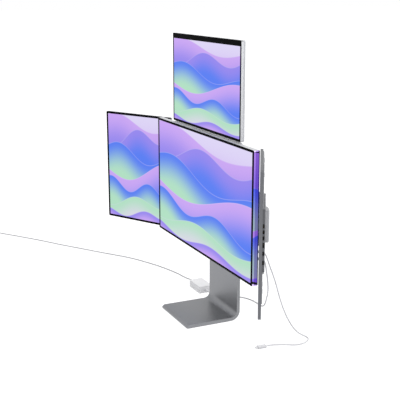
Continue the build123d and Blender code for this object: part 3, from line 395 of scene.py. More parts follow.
class Graph:
    """The node tree of one material or of the world."""

    def __init__(self, tree):
        self.tree = tree
        tree.nodes.clear()

    def add(self, kind, settings=None, values=None):
        """One node: its settings first, then the values or links of its sockets."""
        node = self.tree.nodes.new(kind)
        for key, setting in (settings or {}).items():
            setattr(node, key, setting)
        for key, value in (values or {}).items():
            socket = node.inputs[key]
            if isinstance(value, Wire):
                self.tree.links.new(value.socket, socket)
            elif socket.type == "RGBA" and len(value) == 3:
                socket.default_value = (*value, 1)
            else:
                socket.default_value = value
        return Outputs(self, node)

    def blend(self, factor, first, second):
        """A colour between two colours."""
        values = {0: factor, 6: first, 7: second}
        return self.add("ShaderNodeMix", {"data_type": "RGBA"}, values)[2]

    def dot(self, first, second):
        """How far one vector reaches along another."""
        values = {0: first, 1: second}
        return self.add("ShaderNodeVectorMath", {"operation": "DOT_PRODUCT"}, values)["Value"]

    def ramp(self, value, low, high, start=0.0, end=1.0):
        """A smooth step from start to end as value goes from low to high."""
        settings = {"interpolation_type": "SMOOTHSTEP"}
        values = {0: value, 1: low, 2: high, 3: start, 4: end}
        return self.add("ShaderNodeMapRange", settings, values)[0]

    def place(self):
        """The point on the object in its own frame."""
        return self.add("ShaderNodeTexCoord")["Object"]

    def noise(self, size, detail=2.0, roughness=0.5, place=None):
        """Grey noise whose patches are about the given size in metres."""
        values = {"Vector": place or self.place(), "Scale": 1 / size, "Detail": detail}
        values["Roughness"] = roughness
        return self.add("ShaderNodeTexNoise", {"noise_dimensions": "3D"}, values)["Fac"]

    def bump(self, height, strength, distance):
        """A normal that makes a height show, where a full height is the given distance."""
        values = {"Strength": strength, "Distance": distance, "Height": height}
        return self.add("ShaderNodeBump", None, values)["Normal"]

    def seen(self):
        """1 for the rays that show the background: seen straight, in metal or through glass."""
        path = self.add("ShaderNodeLightPath")
        shown = path["Is Camera Ray"].maths("MAXIMUM", path["Is Glossy Ray"])
        return shown.maths("MAXIMUM", path["Is Transmission Ray"])

    def surface(self, **values):
        """A Principled surface led to the output."""
        named = {key.replace("_", " ").title(): value for key, value in values.items()}
        if "Specular Level" in named:
            named["Specular IOR Level"] = named.pop("Specular Level")
        shader = self.add("ShaderNodeBsdfPrincipled", None, named)
        self.add("ShaderNodeOutputMaterial", None, {"Surface": shader["BSDF"]})


def new_material(name):
    """A material with an empty node tree, and its graph."""
    material = bpy.data.materials.new(name)
    material.use_nodes = True
    return material, Graph(material.node_tree)


def shaded(colour, factor):
    """A colour made lighter or darker."""
    return tuple(min(1.0, value * factor) for value in colour)


def blasted_metal(name, colour, roughness, grain):
    """Bead-blasted aluminium: a fine even grain and faint cloudy handling marks."""
    material, graph = new_material(name)
    fine = graph.noise(grain, detail=3.0, roughness=0.6)
    cloud = graph.noise(0.06, detail=3.0, roughness=0.55)
    tone = graph.blend(graph.ramp(cloud, 0.3, 0.7), shaded(colour, 0.95), shaded(colour, 1.05))
    pitted = graph.blend(0.06, tone, (0, 0, 0))
    tone = graph.blend(graph.ramp(fine, 0.35, 0.65), pitted, tone)
    graph.surface(
        base_color=tone,
        metallic=0.86,
        roughness=graph.ramp(cloud, 0.25, 0.75, roughness - 0.04, roughness + 0.05),
        normal=graph.bump(fine, strength=0.18, distance=0.00004),
    )
    return material


def brushed_metal(name, colour, roughness, squeeze=(1, 1, 1)):
    """Metal with fine brush marks, which run along the direction that squeeze makes small."""
    material, graph = new_material(name)
    stretched = graph.add(
        "ShaderNodeVectorMath", {"operation": "MULTIPLY"}, {0: graph.place(), 1: squeeze}
    )["Vector"]
    lines = graph.noise(0.0004, place=stretched)
    tone = graph.blend(graph.ramp(lines, 0.3, 0.7), shaded(colour, 0.88), shaded(colour, 1.08))
    graph.surface(
        base_color=tone,
        metallic=0.95,
        roughness=graph.ramp(lines, 0.3, 0.7, roughness - 0.06, roughness + 0.08),
        normal=graph.bump(lines, strength=0.15, distance=0.00003),
    )
    return material


def painted_metal(name, colour):
    """Metal under a thin satin paint with a very fine orange peel."""
    material, graph = new_material(name)
    peel = graph.noise(0.0012)
    cloud = graph.noise(0.03)
    tone = graph.blend(graph.ramp(cloud, 0.3, 0.7), shaded(colour, 0.96), shaded(colour, 1.02))
    graph.surface(
        base_color=tone,
        metallic=0.25,
        roughness=graph.ramp(cloud, 0.3, 0.7, 0.36, 0.44),
        normal=graph.bump(peel, strength=0.12, distance=0.00003),
    )
    return material


def rimmed_metal(name, colour, roughness, grain, front, polish=None):
    """Blasted metal whose lip around the glass is painted black.

    front is the direction the lip faces. polish, if given, holds the half width at which the
    mirror-polished sides start, and the depths where their painted reflection starts and where
    their painted shade at the rear starts. The sides' lilac is a painted reflection of the wing's
    picture, and the dark violet band along their rear is painted shade.
    """
    material, graph = new_material(name)
    place = graph.place()
    fine = graph.noise(grain, detail=3.0, roughness=0.6, place=place)
    forward = graph.dot(graph.add("ShaderNodeTexCoord")["Normal"], front)
    lip = graph.ramp(forward, 0.80, 0.86)
    tone = graph.blend(graph.ramp(fine, 0.35, 0.65), shaded(colour, 0.94), colour)
    metallic = 0.35 if polish else 0.9
    rough = roughness
    grained = fine
    if polish:
        half_width, front_edge, painted_shade_edge = polish
        painted_shade_blur, painted_reflection_width = 0.0002, 0.002
        axes = graph.add("ShaderNodeSeparateXYZ", None, {0: place})
        side = axes[0].maths("ABSOLUTE") > half_width
        # painted shade: a dark band along the rear of the polished sides; painted reflection:
        # behind the front, the sides' colour turns from pale to deeper lilac
        painted_shade = graph.ramp(axes[1], painted_shade_edge - painted_shade_blur, painted_shade_edge + painted_shade_blur) * side
        painted_reflection = graph.ramp(axes[1], front_edge, front_edge + painted_reflection_width)
        # the lilacs of the painted reflection of the wing's picture, and the dark violet of the
        # painted shade
        pale_reflected_picture, reflected_picture = linear(226, 206, 250), linear(168, 138, 214)
        painted_shade_violet = linear(46, 38, 66)
        tone = graph.blend(side, tone, graph.blend(painted_reflection, pale_reflected_picture, reflected_picture))
        tone = graph.blend(painted_shade, tone, painted_shade_violet)
        rough = graph.ramp(side, 0, 1, roughness, 0.05)
        metallic = graph.ramp(side, 0, 1, metallic, 0.95)
        grained = fine * (1 - side)
    black_paint = linear(7, 7, 9)
    graph.surface(
        base_color=graph.blend(lip, tone, black_paint),
        metallic=graph.ramp(lip, 0, 1, metallic, 0.0),
        roughness=graph.ramp(lip, 0, 1, rough, 0.35),
        specular_level=0.005,
        normal=graph.bump(grained * (1 - lip), strength=0.18, distance=0.00004),
    )
    return material


def moulded_plastic(name, colour, roughness, texture=0.0005, depth=0.00003, coat=0.0):
    """Injection-moulded plastic with a fine spark-eroded texture.

    texture is the size of the texture's patches and depth the height of its bumps.
    """
    material, graph = new_material(name)
    texture_height = graph.noise(texture)
    flow = graph.noise(0.03)
    tone = graph.blend(graph.ramp(flow, 0.3, 0.7), shaded(colour, 0.965), shaded(colour, 1.015))
    graph.surface(
        base_color=tone,
        roughness=graph.ramp(flow, 0.3, 0.7, roughness - 0.04, roughness + 0.04),
        normal=graph.bump(texture_height, strength=0.25, distance=depth),
        coat_weight=coat,
        coat_roughness=0.25,
        specular_level=0.4,
    )
    return material


def soft_rubber(name, colour):
    """Matt rubber with a slightly dusty surface."""
    material, graph = new_material(name)
    dust = graph.noise(0.004, detail=4.0, roughness=0.65)
    fine = graph.noise(0.0005)
    tone = graph.blend(graph.ramp(dust, 0.45, 0.8), colour, shaded(colour, 1.9))
    graph.surface(
        base_color=tone, roughness=0.82, specular_level=0.3,
        normal=graph.bump(fine, strength=0.3, distance=0.00005),
    )
    return material


def circuit_board(name):
    """Green solder mask with fine tracks and dull chips."""
    material, graph = new_material(name)
    cells = graph.add(
        "ShaderNodeTexVoronoi", {"distance": "CHEBYCHEV", "feature": "F1"},
        {"Vector": graph.place(), "Scale": 260.0},
    )["Distance"]
    tracks = graph.ramp(cells, 0.42, 0.5)
    deep_green, track_green = linear(18, 62, 44), linear(44, 104, 78)
    graph.surface(
        base_color=graph.blend(tracks, deep_green, track_green),
        roughness=graph.ramp(tracks, 0, 1, 0.34, 0.5),
        normal=graph.bump(tracks, strength=0.3, distance=0.00004),
    )
    return material


def wave_picture(graph, across, up, colours):
    """Layered waves in like colours, from a pale sky down to a pale foot.

    across and up run from 0 to 1 over the picture.
    """
    sky, lavender, violet, blue, mint, haze = colours
    picture = graph.blend(graph.ramp(up, 0.55, 1.0), lavender, sky)
    # Middle height and swing of a wave's edge, waves across the picture, their shift, the rise
    # from left to right, the colours at the edge and below it, and how deep the second starts
    waves = (
        (0.93, 0.060, 0.9, 0.10, -0.06, lavender, violet, 0.30),
        (0.80, 0.075, 1.3, 0.62, 0.08, violet, blue, 0.26),
        (0.63, 0.070, 1.1, 0.05, -0.10, blue, mint, 0.30),
        (0.47, 0.085, 0.8, 0.48, 0.06, lavender, blue, 0.34),
        (0.31, 0.060, 1.6, 0.20, -0.05, blue, mint, 0.22),
        (0.17, 0.050, 1.2, 0.72, 0.05, mint, haze, 0.20),
        (0.05, 0.035, 1.5, 0.35, 0.03, violet, lavender, 0.10),
    )
    for level, height, count, shift, slope, crest, trough, fade in waves:
        angle = across * (count * 2 * math.pi) + shift * 2 * math.pi
        depth = angle.maths("SINE") * height + across * slope + (level - slope / 2) - up
        inside = graph.ramp(depth, -0.002, 0.003)
        wave = graph.blend(graph.ramp(depth, 0.0, fade), crest, trough)
        rim = graph.ramp(depth.maths("ABSOLUTE"), 0.0, 0.009, 0.45, 0.0)
        wave = graph.blend(rim, wave, sky)
        picture = graph.blend(inside, picture, wave)
    return picture


def screen_glass(name, origin, across_axis, size, bezels, finish):
    """Black-bordered anti-glare glass over a lit picture.

    origin is the lower left corner of the glass, size its width and height; bezels are the
    left, right, bottom and top widths of the black border.
    """
    material, graph = new_material(name)
    offset = graph.add(
        "ShaderNodeVectorMath", {"operation": "SUBTRACT"}, {0: graph.place(), 1: origin}
    )["Vector"]
    out = graph.dot(offset, across_axis)
    up = graph.dot(offset, (0, 0, 1))
    front = Vector(across_axis).cross(Vector((0, 0, 1)))
    facing = graph.dot(graph.add("ShaderNodeTexCoord")["Normal"], front)
    width, height = size
    left, right, bottom, top = bezels
    lit = (out > left) * (out < width - right) * (up > bottom) * (up < height - top)
    lit = lit * (facing > 0.5)
    colours = (
        finish.sky_colour, finish.lavender_colour, finish.violet_colour,
        finish.blue_colour, finish.mint_colour, finish.haze_colour,
    )
    picture = wave_picture(
        graph,
        (out - left) / (width - left - right),
        (up - bottom) / (height - bottom - top),
        [tuple(colour) for colour in colours],
    )
    smear = graph.noise(0.05, detail=3.0, roughness=0.6)
    border_black = linear(6, 6, 8)
    graph.surface(
        base_color=border_black,
        roughness=graph.ramp(smear, 0.3, 0.8, 0.30, 0.42),
        specular_level=0.006,
        emission_color=graph.blend(lit, (0, 0, 0), picture),
        emission_strength=finish.brightness,
    )
    return material


def dress(material, *nodes):
    """Give CAD nodes a material."""
    for node in nodes:
        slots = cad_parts[node].data.materials
        slots.clear()
        slots.append(material)


def both(*names):
    """The right and the left node of each name."""
    return [f"{side}_{name}" for side in ("right", "left") for name in names]


def wing_point(side, out, back, height):
    """A point on a wing: out from the hinge axis along it, back from its middle plane."""
    point = HINGE + OUTWARD * out + BACKWARD * back
    return Vector((point.x * side, point.y, height))


def add_object(name, data):
    """An object of the given data, linked to the scene."""
    piece = bpy.data.objects.new(name, data)
    bpy.context.scene.collection.objects.link(piece)
    return piece


def add_mesh_object(name, mesh, material):
    """An object made of finished bmesh data, which is used up."""
    data = bpy.data.meshes.new(name)
    mesh.to_mesh(data)
    mesh.free()
    data.materials.append(material)
    return add_object(name, data)


def make_piece(name, mesh, material, body):
    """Turn closed bmesh data, with its faces outward, into a piece that rides on a body."""
    bmesh.ops.recalc_face_normals(mesh, faces=mesh.faces[:])
    piece = add_mesh_object(name, mesh, material)
    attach(piece, body)
    return piece


def ring_stack(mesh, rings):
    """Skin a list of rings that have the same count of points, and close both ends."""
    made = [[mesh.verts.new(point) for point in ring] for ring in rings]
    for lower, upper in zip(made, made[1:]):
        count = len(lower)
        for index in range(count):
            after = (index + 1) % count
            mesh.faces.new((lower[index], lower[after], upper[after], upper[index]))
    mesh.faces.new(list(reversed(made[0])))
    mesh.faces.new(made[-1])


def hexagon(angle, apothem):
    """How far a hexagon's edge is from its middle in one direction."""
    sixth = math.pi / 3
    return apothem / math.cos((angle % sixth) - sixth / 2)


def add_screw(mesh, seat, axis, sizes):
    """A cap screw with a hexagon socket and a cut thread.

    seat is the middle of the head's underside, axis points out of the head, and sizes holds
    the head's radius and height, the shank's radius, plain length and whole length, and the
    thread's pitch.
    """
    head_radius, head_height, radius, plain, length, pitch = sizes
    sides, steps_a_turn = 36, 6
    turn = Vector((0, 0, 1)).rotation_difference(axis)
    angles = [index * 2 * math.pi / sides for index in range(sides)]

    def ring(height, radii):
        return [
            seat + turn @ Vector((math.cos(angle) * out, math.sin(angle) * out, height))
            for angle, out in zip(angles, radii)
        ]

    socket_share, socket_floor_share, bevel_share = 0.46, 0.35, 0.18
    thread_share, point_share = 0.28, 0.4
    socket = [hexagon(angle, head_radius * socket_share) for angle in angles]
    bevel = head_height * bevel_share
    rings = [
        ring(head_height * socket_floor_share, socket),
        ring(head_height - bevel / 3, socket),
        ring(head_height, [out + bevel / 3 for out in socket]),
        ring(head_height, [head_radius - bevel] * sides),
        ring(head_height - bevel, [head_radius] * sides),
        ring(0, [head_radius] * sides),
        ring(0, [radius] * sides),
        ring(-plain, [radius] * sides),
    ]
    steps = round((length - plain) / pitch * steps_a_turn)
    for step in range(1, steps):
        drop = (length - plain) * step / steps
        fade = min(1, step / steps_a_turn, (steps - step) / steps_a_turn)
        cut = pitch * thread_share * fade
        waves = [math.cos(drop / pitch * 2 * math.pi + angle) for angle in angles]
        rings.append(ring(-plain - drop, [radius - cut * (1 - wave) for wave in waves]))
    rings.append(ring(-length, [radius - pitch * point_share] * sides))
    ring_stack(mesh, rings)


def add_bar(mesh, side, out_range, back_range, height_range, bevel):
    """A bar along a wing with bevelled long edges, sized in the wing's own directions."""
    (back, behind), (low, high) = back_range, height_range
    outline = (
        (back, low + bevel), (back + bevel, low), (behind - bevel, low), (behind, low + bevel),
        (behind, high - bevel), (behind - bevel, high), (back + bevel, high), (back, high - bevel),
    )
    rings = [
        [wing_point(side, out, depth, height) for depth, height in outline] for out in out_range
    ]
    ring_stack(mesh, rings)


class EXTENDER_OT_fittings(Operator):
    """Make the screws, the tilt bolt, the tongues in the ports and the strip between screens"""

    bl_idname = "extender.fittings"
    bl_label = "Screws and Ports"

    def execute(self, context):
        finish = context.scene.extender_metal
        steel = brushed_metal(
            "screw_steel", tuple(finish.steel_colour), roughness=0.3, squeeze=UPRIGHT_MARKS
        )
        for name, node, body, outward in (
            ("housing_screws", "mount_screws", "centre", 1),
            ("clevis_screws", "stand_screws", "stand", -1),
        ):
            screws = make_piece(name, self.corner_screws(node, outward), steel, body)
            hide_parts(node)
        bolt = make_piece("tilt_screw", self.tilt_bolt(), steel, "stand")
        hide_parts("tilt_pin")
        black = moulded_plastic("tongue_plastic", linear(20, 20, 22), roughness=0.45)
        gold = brushed_metal("contact_gold", linear(214, 178, 110), roughness=0.25)
        for side, name in ((1, "right"), (-1, "left")):
            tongues, contacts = self.port_insides(side)
            make_piece(name + "_port_tongues", tongues, black, name + "_wing")
            make_piece(name + "_port_contacts", contacts, gold, name + "_wing")
        light = moulded_plastic("strip_plastic", linear(246, 246, 248), roughness=0.5)
        make_piece("gap_strip", self.gap_strip(), light, "centre")
        return {"FINISHED"}

    def corner_screws(self, node, outward):
        """Four screws in the corners of a node's box, with heads to the back (1) or front (-1)."""
        low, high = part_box(node)
        length = high.y - HEAD_HEIGHT - low.y
        seat = high.y - HEAD_HEIGHT if outward > 0 else low.y + HEAD_HEIGHT
        sizes = (HEAD_RADIUS, HEAD_HEIGHT, SHANK_RADIUS, PLAIN_LENGTH, length, THREAD_PITCH)
        mesh = bmesh.new()
        for x in (low.x + HEAD_RADIUS, high.x - HEAD_RADIUS):
            for z in (low.z + HEAD_RADIUS, high.z - HEAD_RADIUS):
                add_screw(mesh, Vector((x, seat, z)), Vector((0, outward, 0)), sizes)
        return mesh

    def tilt_bolt(self):
        """The bolt that the central screen tilts on, threaded at its nut."""
        low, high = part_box("tilt_pin")
        length = high.x - low.x - BOLT_HEAD_HEIGHT
        seat = Vector((low.x + BOLT_HEAD_HEIGHT, (low.y + high.y) / 2, (low.z + high.z) / 2))
        sizes = (
            (high.z - low.z) / 2, BOLT_HEAD_HEIGHT, BOLT_RADIUS, length - BOLT_THREAD_LENGTH,
            length, BOLT_PITCH,
        )
        mesh = bmesh.new()
        add_screw(mesh, seat, Vector((-1, 0, 0)), sizes)
        return mesh

    def port_insides(self, side):
        """The tongue in each port of a wing, and the contacts on both faces of each tongue."""
        tongues, contacts = bmesh.new(), bmesh.new()
        for middle, length in PORTS:
            half = length / 2 - TONGUE_MARGIN
            span = (middle - half, middle + half)
            add_bar(tongues, side, TONGUE_REACH, TONGUE_DEPTH, span, TONGUE_BEVEL)
            for share in CONTACT_SHARES:
                place = middle + half * share
                span = (place - CONTACT_HALF_WIDTH, place + CONTACT_HALF_WIDTH)
                for depth in CONTACT_DEPTHS:
                    add_bar(contacts, side, CONTACT_REACH, depth, span, CONTACT_BEVEL)
        return tongues, contacts

    def gap_strip(self):
        """A light strip along the central screen's rear top edge, below the upper screen."""
        low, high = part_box("upper_frame")
        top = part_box("main_shell")[1]
        front, back = top.y, top.y + STRIP_DEPTH
        foot, crest, bevel = top.z - STRIP_FOOT, top.z + STRIP_CREST, STRIP_BEVEL
        outline = (
            (front, foot), (back, foot), (back, crest - bevel), (back - bevel, crest),
            (front + bevel, crest), (front, crest - bevel),
        )
        mesh = bmesh.new()
        ends = (low.x + STRIP_INSET, high.x - STRIP_INSET)
        ring_stack(mesh, [[Vector((x, y, z)) for y, z in outline] for x in ends])
        return mesh


class EXTENDER_OT_metal_parts(Operator):
    """Finish the stand, the frames, the port housings, the buttons, the hinges and the steel"""

    bl_idname = "extender.metal_parts"
    bl_label = "Metal Parts"

    def execute(self, context):
        finish = context.scene.extender_metal
        rough, grain = finish.roughness, finish.grain
        central, wings = tuple(finish.frame_colour), tuple(finish.shaded_wing_colour)
        stand = blasted_metal("stand_sheet", tuple(finish.stand_colour), rough, grain)
        casing = blasted_metal("casing_metal", central, rough, grain)
        # painted shade: the wings' frames, port housings and buttons take the darker, shaded copy
        # of the aluminium
        ports = blasted_metal("port_casing_shaded_metal", wings, rough, grain)
        hinge = blasted_metal("hinge_metal", tuple(finish.hinge_colour), rough - 0.06, grain)
        leaf = painted_metal("leaf_metal", linear(206, 206, 209))
        steel = brushed_metal(
            "turned_steel", tuple(finish.steel_colour), roughness=0.3, squeeze=UPRIGHT_MARKS
        )
        low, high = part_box("main_shell")
        # where the polished sides start, where their painted reflection starts and where their
        # painted shade at the rear starts
        polish = (high.x - POLISH_INSET, low.y + PAINTED_REFLECTION_FRONT, high.y - PAINTED_SHADE_WIDTH)
        forward = (0, -1, 0)
        tray = rimmed_metal("tray_metal", central, rough, grain, forward, polish)
        upper_rim = rimmed_metal(
            "upper_rim_metal", tuple(finish.upper_colour), rough, grain, forward
        )
        right_rim = rimmed_metal("right_rim_shaded_metal", wings, rough, grain, tuple(-BACKWARD))
        left_front = (BACKWARD.x, -BACKWARD.y, 0.0)
        left_rim = rimmed_metal("left_rim_shaded_metal", wings, rough, grain, left_front)
        dress(stand, "stand_bracket")
        dress(tray, "main_shell")
        dress(upper_rim, "upper_frame")
        dress(right_rim, "right_wing_frame")
        dress(left_rim, "left_wing_frame")
        dress(ports, *both("port_housing", "wing_button"))
        dress(casing, "main_button")
        dress(hinge, "tilt_base", "mount_plate", "upper_arm", "upper_leaf")
        dress(leaf, *both("hinge_leaf", "bracket"))
        dress(steel, "tilt_nut", "upper_pin", "rear_sockets", *both("hinge_pin"))
        return {"FINISHED"}


class EXTENDER_OT_screens(Operator):
    """Light the four screens behind their black-bordered glass"""

    bl_idname = "extender.screens"
    bl_label = "Screens"

    def execute(self, context):
        finish = context.scene.extender_picture
        edge = finish.bezel
        for name, bezels in (
            ("main", (finish.side_bezel, finish.side_bezel, edge, edge)),
            ("upper", (edge, edge, edge, finish.top_bezel)),
        ):
            low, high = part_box(name + "_glass")
            size = (high.x - low.x, high.z - low.z)
            glass = screen_glass(name + "_picture", tuple(low), (1, 0, 0), size, bezels, finish)
            dress(glass, name + "_glass")
        low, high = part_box("right_wing_glass")
        size = (GLASS_LENGTH, high.z - low.z)
        inner = wing_point(1, GLASS_START, GLASS_FRONT, low.z)
        outer = wing_point(-1, GLASS_START + GLASS_LENGTH, GLASS_FRONT, low.z)
        for name, corner, across in (
            ("right", inner, tuple(OUTWARD)),
            ("left", outer, (OUTWARD.x, -OUTWARD.y, 0.0)),
        ):
            glass = screen_glass(
                name + "_picture", tuple(corner), across, size, (edge, edge, edge, edge), finish
            )
            dress(glass, name + "_wing_glass")
        panel = moulded_plastic("panel_edge", linear(58, 58, 62), roughness=0.4)
        dress(panel, "main_lcd", "upper_lcd", *both("wing_lcd"))
        return {"FINISHED"}


class EXTENDER_OT_plastic_parts(Operator):
    """Finish the covers, the power brick, the plugs, the rubber and the boards"""

    bl_idname = "extender.plastic_parts"
    bl_label = "Plastic and Rubber Parts"

    def execute(self, context):
        finish = context.scene.extender_plastic
        plugs = ("brick_glands", "mains_plug", "dc_plug", "host_plug", "host_end_plug")
        hoods = ("rear_housing", *both("hinge_cover"))
        for name, colour, roughness, coat, nodes in (
            ("hood_plastic", finish.hood_colour, 0.46, 0.0, hoods),
            ("brick_plastic", finish.brick_colour, 0.42, 0.15, ("brick_base", "brick_top")),
            ("plug_plastic", finish.cord_colour, 0.45, 0.1, plugs),
            ("cover_plastic", finish.cover_colour, 0.4, 0.0, ("upper_cover",)),
            # painted shade: the wing covers in their darker, shaded copy of the cover plastic
            ("shaded_wing_cover_plastic", finish.shaded_wing_cover_colour, 0.4, 0.0, both("wing_cover")),
            ("tie_plastic", linear(72, 72, 75), 0.55, 0.0, ("coil_tie",)),
            ("washer_plastic", linear(30, 30, 32), 0.4, 0.0, ("tilt_washers",)),
            ("port_plastic", linear(24, 24, 26), 0.5, 0.0, both("port_board")),
        ):
            dress(moulded_plastic(name, tuple(colour), roughness, coat=coat), *nodes)
        dress(soft_rubber("pad_rubber", tuple(finish.rubber_colour)), "foot_pad")
        dress(soft_rubber("bumper_rubber", linear(188, 189, 192)), *both("wing_pads"))
        pins = brushed_metal("plated_pins", linear(196, 194, 186), roughness=0.18)
        dress(pins, "plug_pins")
        dress(circuit_board("board_mask"), "main_board")
        return {"FINISHED"}


def smooth_line(name, points):
    """A NURBS line of order 3 that starts and ends at its end points."""
    data = bpy.data.curves.new(name, "CURVE")
    data.dimensions = "3D"
    data.resolution_u = 8
    data.use_fill_caps = True
    spline = data.splines.new("NURBS")
    spline.points.add(len(points) - 1)
    for control, point in zip(spline.points, points):
        control.co = (*point, 1)
    spline.order_u = 3
    spline.use_endpoint_u = True
    return add_object(name, data)


def thicken(line, diameter):
    """Give a line a round section."""
    line.data.bevel_depth = diameter / 2
    line.data.bevel_resolution = 4


def evaluated_mesh(line):
    """The mesh that a line makes: its points alone, or a tube once it is thickened."""
    bpy.context.view_layer.update()
    graph = bpy.context.evaluated_depsgraph_get()
    return bpy.data.meshes.new_from_object(line.evaluated_get(graph))


def line_points(line):
    """The points that a line with no section passes through."""
    mesh = evaluated_mesh(line)
    points = [vertex.co.copy() for vertex in mesh.vertices]
    bpy.data.meshes.remove(mesh)
    return points


def bending_tube(name, points, diameter):
    """A mesh tube along a smooth line, with the points that it follows."""
    line = smooth_line(name + "_line", points)
    path = line_points(line)
    thicken(line, diameter)
    mesh = evaluated_mesh(line)
    mesh.name = name
    bpy.data.objects.remove(line)
    for face in mesh.polygons:
        face.use_smooth = True
    return add_object(name, mesh), path


def line_length(points):
    """The length of the straight steps between points."""
    return sum((after - before).length for before, after in zip(points, points[1:]))


def coil_turns(start, heading, diameter, sizes):
    """Two layers of turns wound inward and out again, then straight on over the entry."""
    side = Vector((-heading.y, heading.x, 0))
    entry = start + heading * diameter
    centre = entry + side * sizes.coil_radius
    inward_turns, climb_turns, steps_a_turn = 1.75, 0.5, 14
    total = inward_turns * 2 + climb_turns
    steps = round(total * steps_a_turn)
    points = [entry]
    for step in range(1, steps):
        turn = total * step / steps
        inward = min(turn, inward_turns)
        outward = max(turn - inward_turns - climb_turns, 0)
        climb = min(max((turn - inward_turns) / climb_turns, 0), 1)
        radius = sizes.coil_radius - (inward - outward) * sizes.coil_pitch
        radius = radius / math.cos(math.pi / steps_a_turn) ** 0.5
        angle = turn * 2 * math.pi
        spoke = heading * math.sin(angle) - side * math.cos(angle)
        rise = sizes.layer_pitch * climb * climb * (3 - 2 * climb)
        points.append(centre + spoke * radius + Vector((0, 0, rise)))
    top = Vector((0, 0, sizes.layer_pitch))
    points.append(entry + top)
    points.append(entry + top + heading * diameter)
    return points


class EXTENDER_OT_cords(Operator):
    """Lay the mains lead with its coil, the power lead and the host lead"""

    bl_idname = "extender.cords"
    bl_label = "Cords"

    def execute(self, context):
        sizes = context.scene.extender_cords
        finish = context.scene.extender_plastic
        mains_jacket, jacket = (
            moulded_plastic(name, tuple(colour), roughness=0.5, texture=0.0003, depth=0.00001)
            for name, colour in (
                ("mains_jacket", finish.mains_colour), ("lead_jacket", finish.cord_colour),
            )
        )
        route = [Vector(point) for point in MAINS_ROUTE]
        heading = (route[-1] - route[-2]).normalized()
        route += coil_turns(route[-1], heading, sizes.mains_diameter, sizes)
        mains = smooth_line("mains_cord", route)
        length = line_length(line_points(mains))
        thicken(mains, sizes.mains_diameter)
        mains.data.materials.append(mains_jacket)
        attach(mains, "stand")
        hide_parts("mains_lead", "mains_coil")
        leads = (
            (
                "power_cord", POWER_ROUTE, "dc_lead", "fitting",
                ["dc_plug", "brick_base", "brick_top", "brick_glands"],
            ),
            ("host_cord", HOST_ROUTE, "host_lead", "connector", ["host_plug", "host_end_plug"]),
        )
        for name, points, node, far_end, others in leads:
            piece, path = bending_tube(name, points, sizes.lead_diameter)
            piece.data.materials.append(jacket)
            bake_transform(piece)
            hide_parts(node)
        return {"FINISHED"}


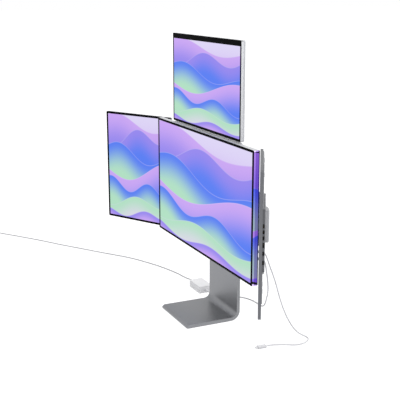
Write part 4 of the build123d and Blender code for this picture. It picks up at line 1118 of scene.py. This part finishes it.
class EXTENDER_OT_stage(Operator):
    """Set the floor, the light and the camera"""

    bl_idname = "extender.stage"
    bl_label = "Stage"

    def execute(self, context):
        scene = context.scene
        stage = scene.extender_stage
        scene.view_settings.view_transform = "Standard"
        self.lay_floor()
        self.light_world(scene, stage)
        self.hang_lamps(stage)
        self.place_camera(scene, stage)
        return {"FINISHED"}

    def lay_floor(self):
        """A pale floor that shows as near white and keeps the object's shadow."""
        material, graph = new_material("pale_floor")
        plain = graph.add("ShaderNodeBsdfDiffuse", None, {"Color": linear(205, 205, 207)})
        bright = graph.add("ShaderNodeEmission", None, {"Color": (1, 1, 1), "Strength": 0.9})
        faint = graph.add("ShaderNodeBsdfDiffuse", None, {"Color": linear(150, 150, 152)})
        shown = graph.add("ShaderNodeAddShader", None, {0: bright["Emission"], 1: faint["BSDF"]})
        ways = {0: graph.seen(), 1: plain["BSDF"], 2: shown["Shader"]}
        mixed = graph.add("ShaderNodeMixShader", None, ways)
        graph.add("ShaderNodeOutputMaterial", None, {"Surface": mixed["Shader"]})
        reach = 30
        mesh = bmesh.new()
        corners = [
            mesh.verts.new((x * reach, y * reach, 0))
            for x, y in ((-1, -1), (1, -1), (1, 1), (-1, 1))
        ]
        mesh.faces.new(corners)
        add_mesh_object("floor", mesh, material)

    def light_world(self, scene, stage):
        """White where it is seen, and otherwise soft light that grows towards the ceiling."""
        world = bpy.data.worlds.new("studio")
        world.use_nodes = True
        scene.world = world
        graph = Graph(world.node_tree)
        brightest = (-0.2, 0.34, 1.0)
        lift = graph.dot(graph.add("ShaderNodeTexCoord")["Generated"], brightest)
        sky = graph.ramp(lift, 0.05, 0.45, stage.ambient, stage.ceiling)
        ways = {0: graph.seen(), 1: 0.0, 2: 1.0, 3: sky, 4: 1.0}
        strength = graph.add("ShaderNodeMapRange", None, ways)[0]
        values = {"Color": (1, 1, 1), "Strength": strength}
        backdrop = graph.add("ShaderNodeBackground", None, values)
        graph.add("ShaderNodeOutputWorld", None, {"Surface": backdrop["Background"]})

    def hang_lamps(self, stage):
        """Four soft square lamps: where each hangs, its size, power and what it points at."""
        for name, place, size, power, aim in (
            ("overhead_lamp", (0.1, -0.3, 2.6), 3.0, stage.lamp_power, (0, 0, 0.3)),
            ("front_lamp", (0.6, -2.6, 1.4), 1.8, stage.front_power, (0, 0, 0.3)),
            ("side_lamp", (2.6, 1.5, 0.9), 1.4, stage.side_power, (0, 0, 0.4)),
            ("right_lamp", (2.6, -0.5, 1.9), 1.2, stage.right_power, (0, 0, 0.3)),
        ):
            light = bpy.data.lights.new(name, "AREA")
            light.shape = "SQUARE"
            light.size = size
            light.energy = power
            lamp = add_object(name, light)
            lamp.location = place
            direction = Vector(aim) - Vector(place)
            lamp.rotation_euler = direction.to_track_quat("-Z", "Y").to_euler()

    def place_camera(self, scene, stage):
        """The camera at the photograph's angle."""
        camera_data = bpy.data.cameras.new("camera")
        camera_data.sensor_width = 36.0
        camera_data.lens = stage.lens
        camera_data.clip_start = 0.05
        camera_data.clip_end = 100.0
        camera = add_object("camera", camera_data)
        camera.location = stage.camera_place
        camera.rotation_euler = (math.pi / 2 - stage.camera_dip, 0.0, stage.camera_turn)
        scene.camera = camera


OPERATORS = (
    EXTENDER_OT_metal_parts,
    EXTENDER_OT_fittings,
    EXTENDER_OT_screens,
    EXTENDER_OT_plastic_parts,
    EXTENDER_OT_cords,
    EXTENDER_OT_stage,
)


class EXTENDER_PT_sidebar(Panel):
    """Lists the steps that dress the extender"""

    bl_label = "Screen Extender"
    bl_idname = "EXTENDER_PT_sidebar"
    bl_space_type = "VIEW_3D"
    bl_region_type = "UI"
    bl_category = "Extender"

    def draw(self, context):
        for operator in OPERATORS:
            self.layout.operator(operator.bl_idname)


GROUPS = {
    "extender_metal": MetalFinish,
    "extender_picture": ScreenPicture,
    "extender_plastic": PlasticFinish,
    "extender_cords": CordSizes,
    "extender_stage": StageSettings,
}


def register():
    """Add the settings, the steps and the panel to Blender."""
    for group in GROUPS.values():
        bpy.utils.register_class(group)
    for name, group in GROUPS.items():
        setattr(bpy.types.Scene, name, PointerProperty(type=group))
    for operator in OPERATORS:
        bpy.utils.register_class(operator)
    bpy.utils.register_class(EXTENDER_PT_sidebar)


def unregister():
    """Take the panel, the steps and the settings away again."""
    bpy.utils.unregister_class(EXTENDER_PT_sidebar)
    for operator in reversed(OPERATORS):
        bpy.utils.unregister_class(operator)
    for name in GROUPS:
        delattr(bpy.types.Scene, name)
    for group in reversed(list(GROUPS.values())):
        bpy.utils.unregister_class(group)


def main():
    """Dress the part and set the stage."""
    register()
    bpy.ops.extender.metal_parts()
    bpy.ops.extender.fittings()
    bpy.ops.extender.screens()
    bpy.ops.extender.plastic_parts()
    bpy.ops.extender.cords()
    bpy.ops.extender.stage()


if __name__ == "__main__":
    main()
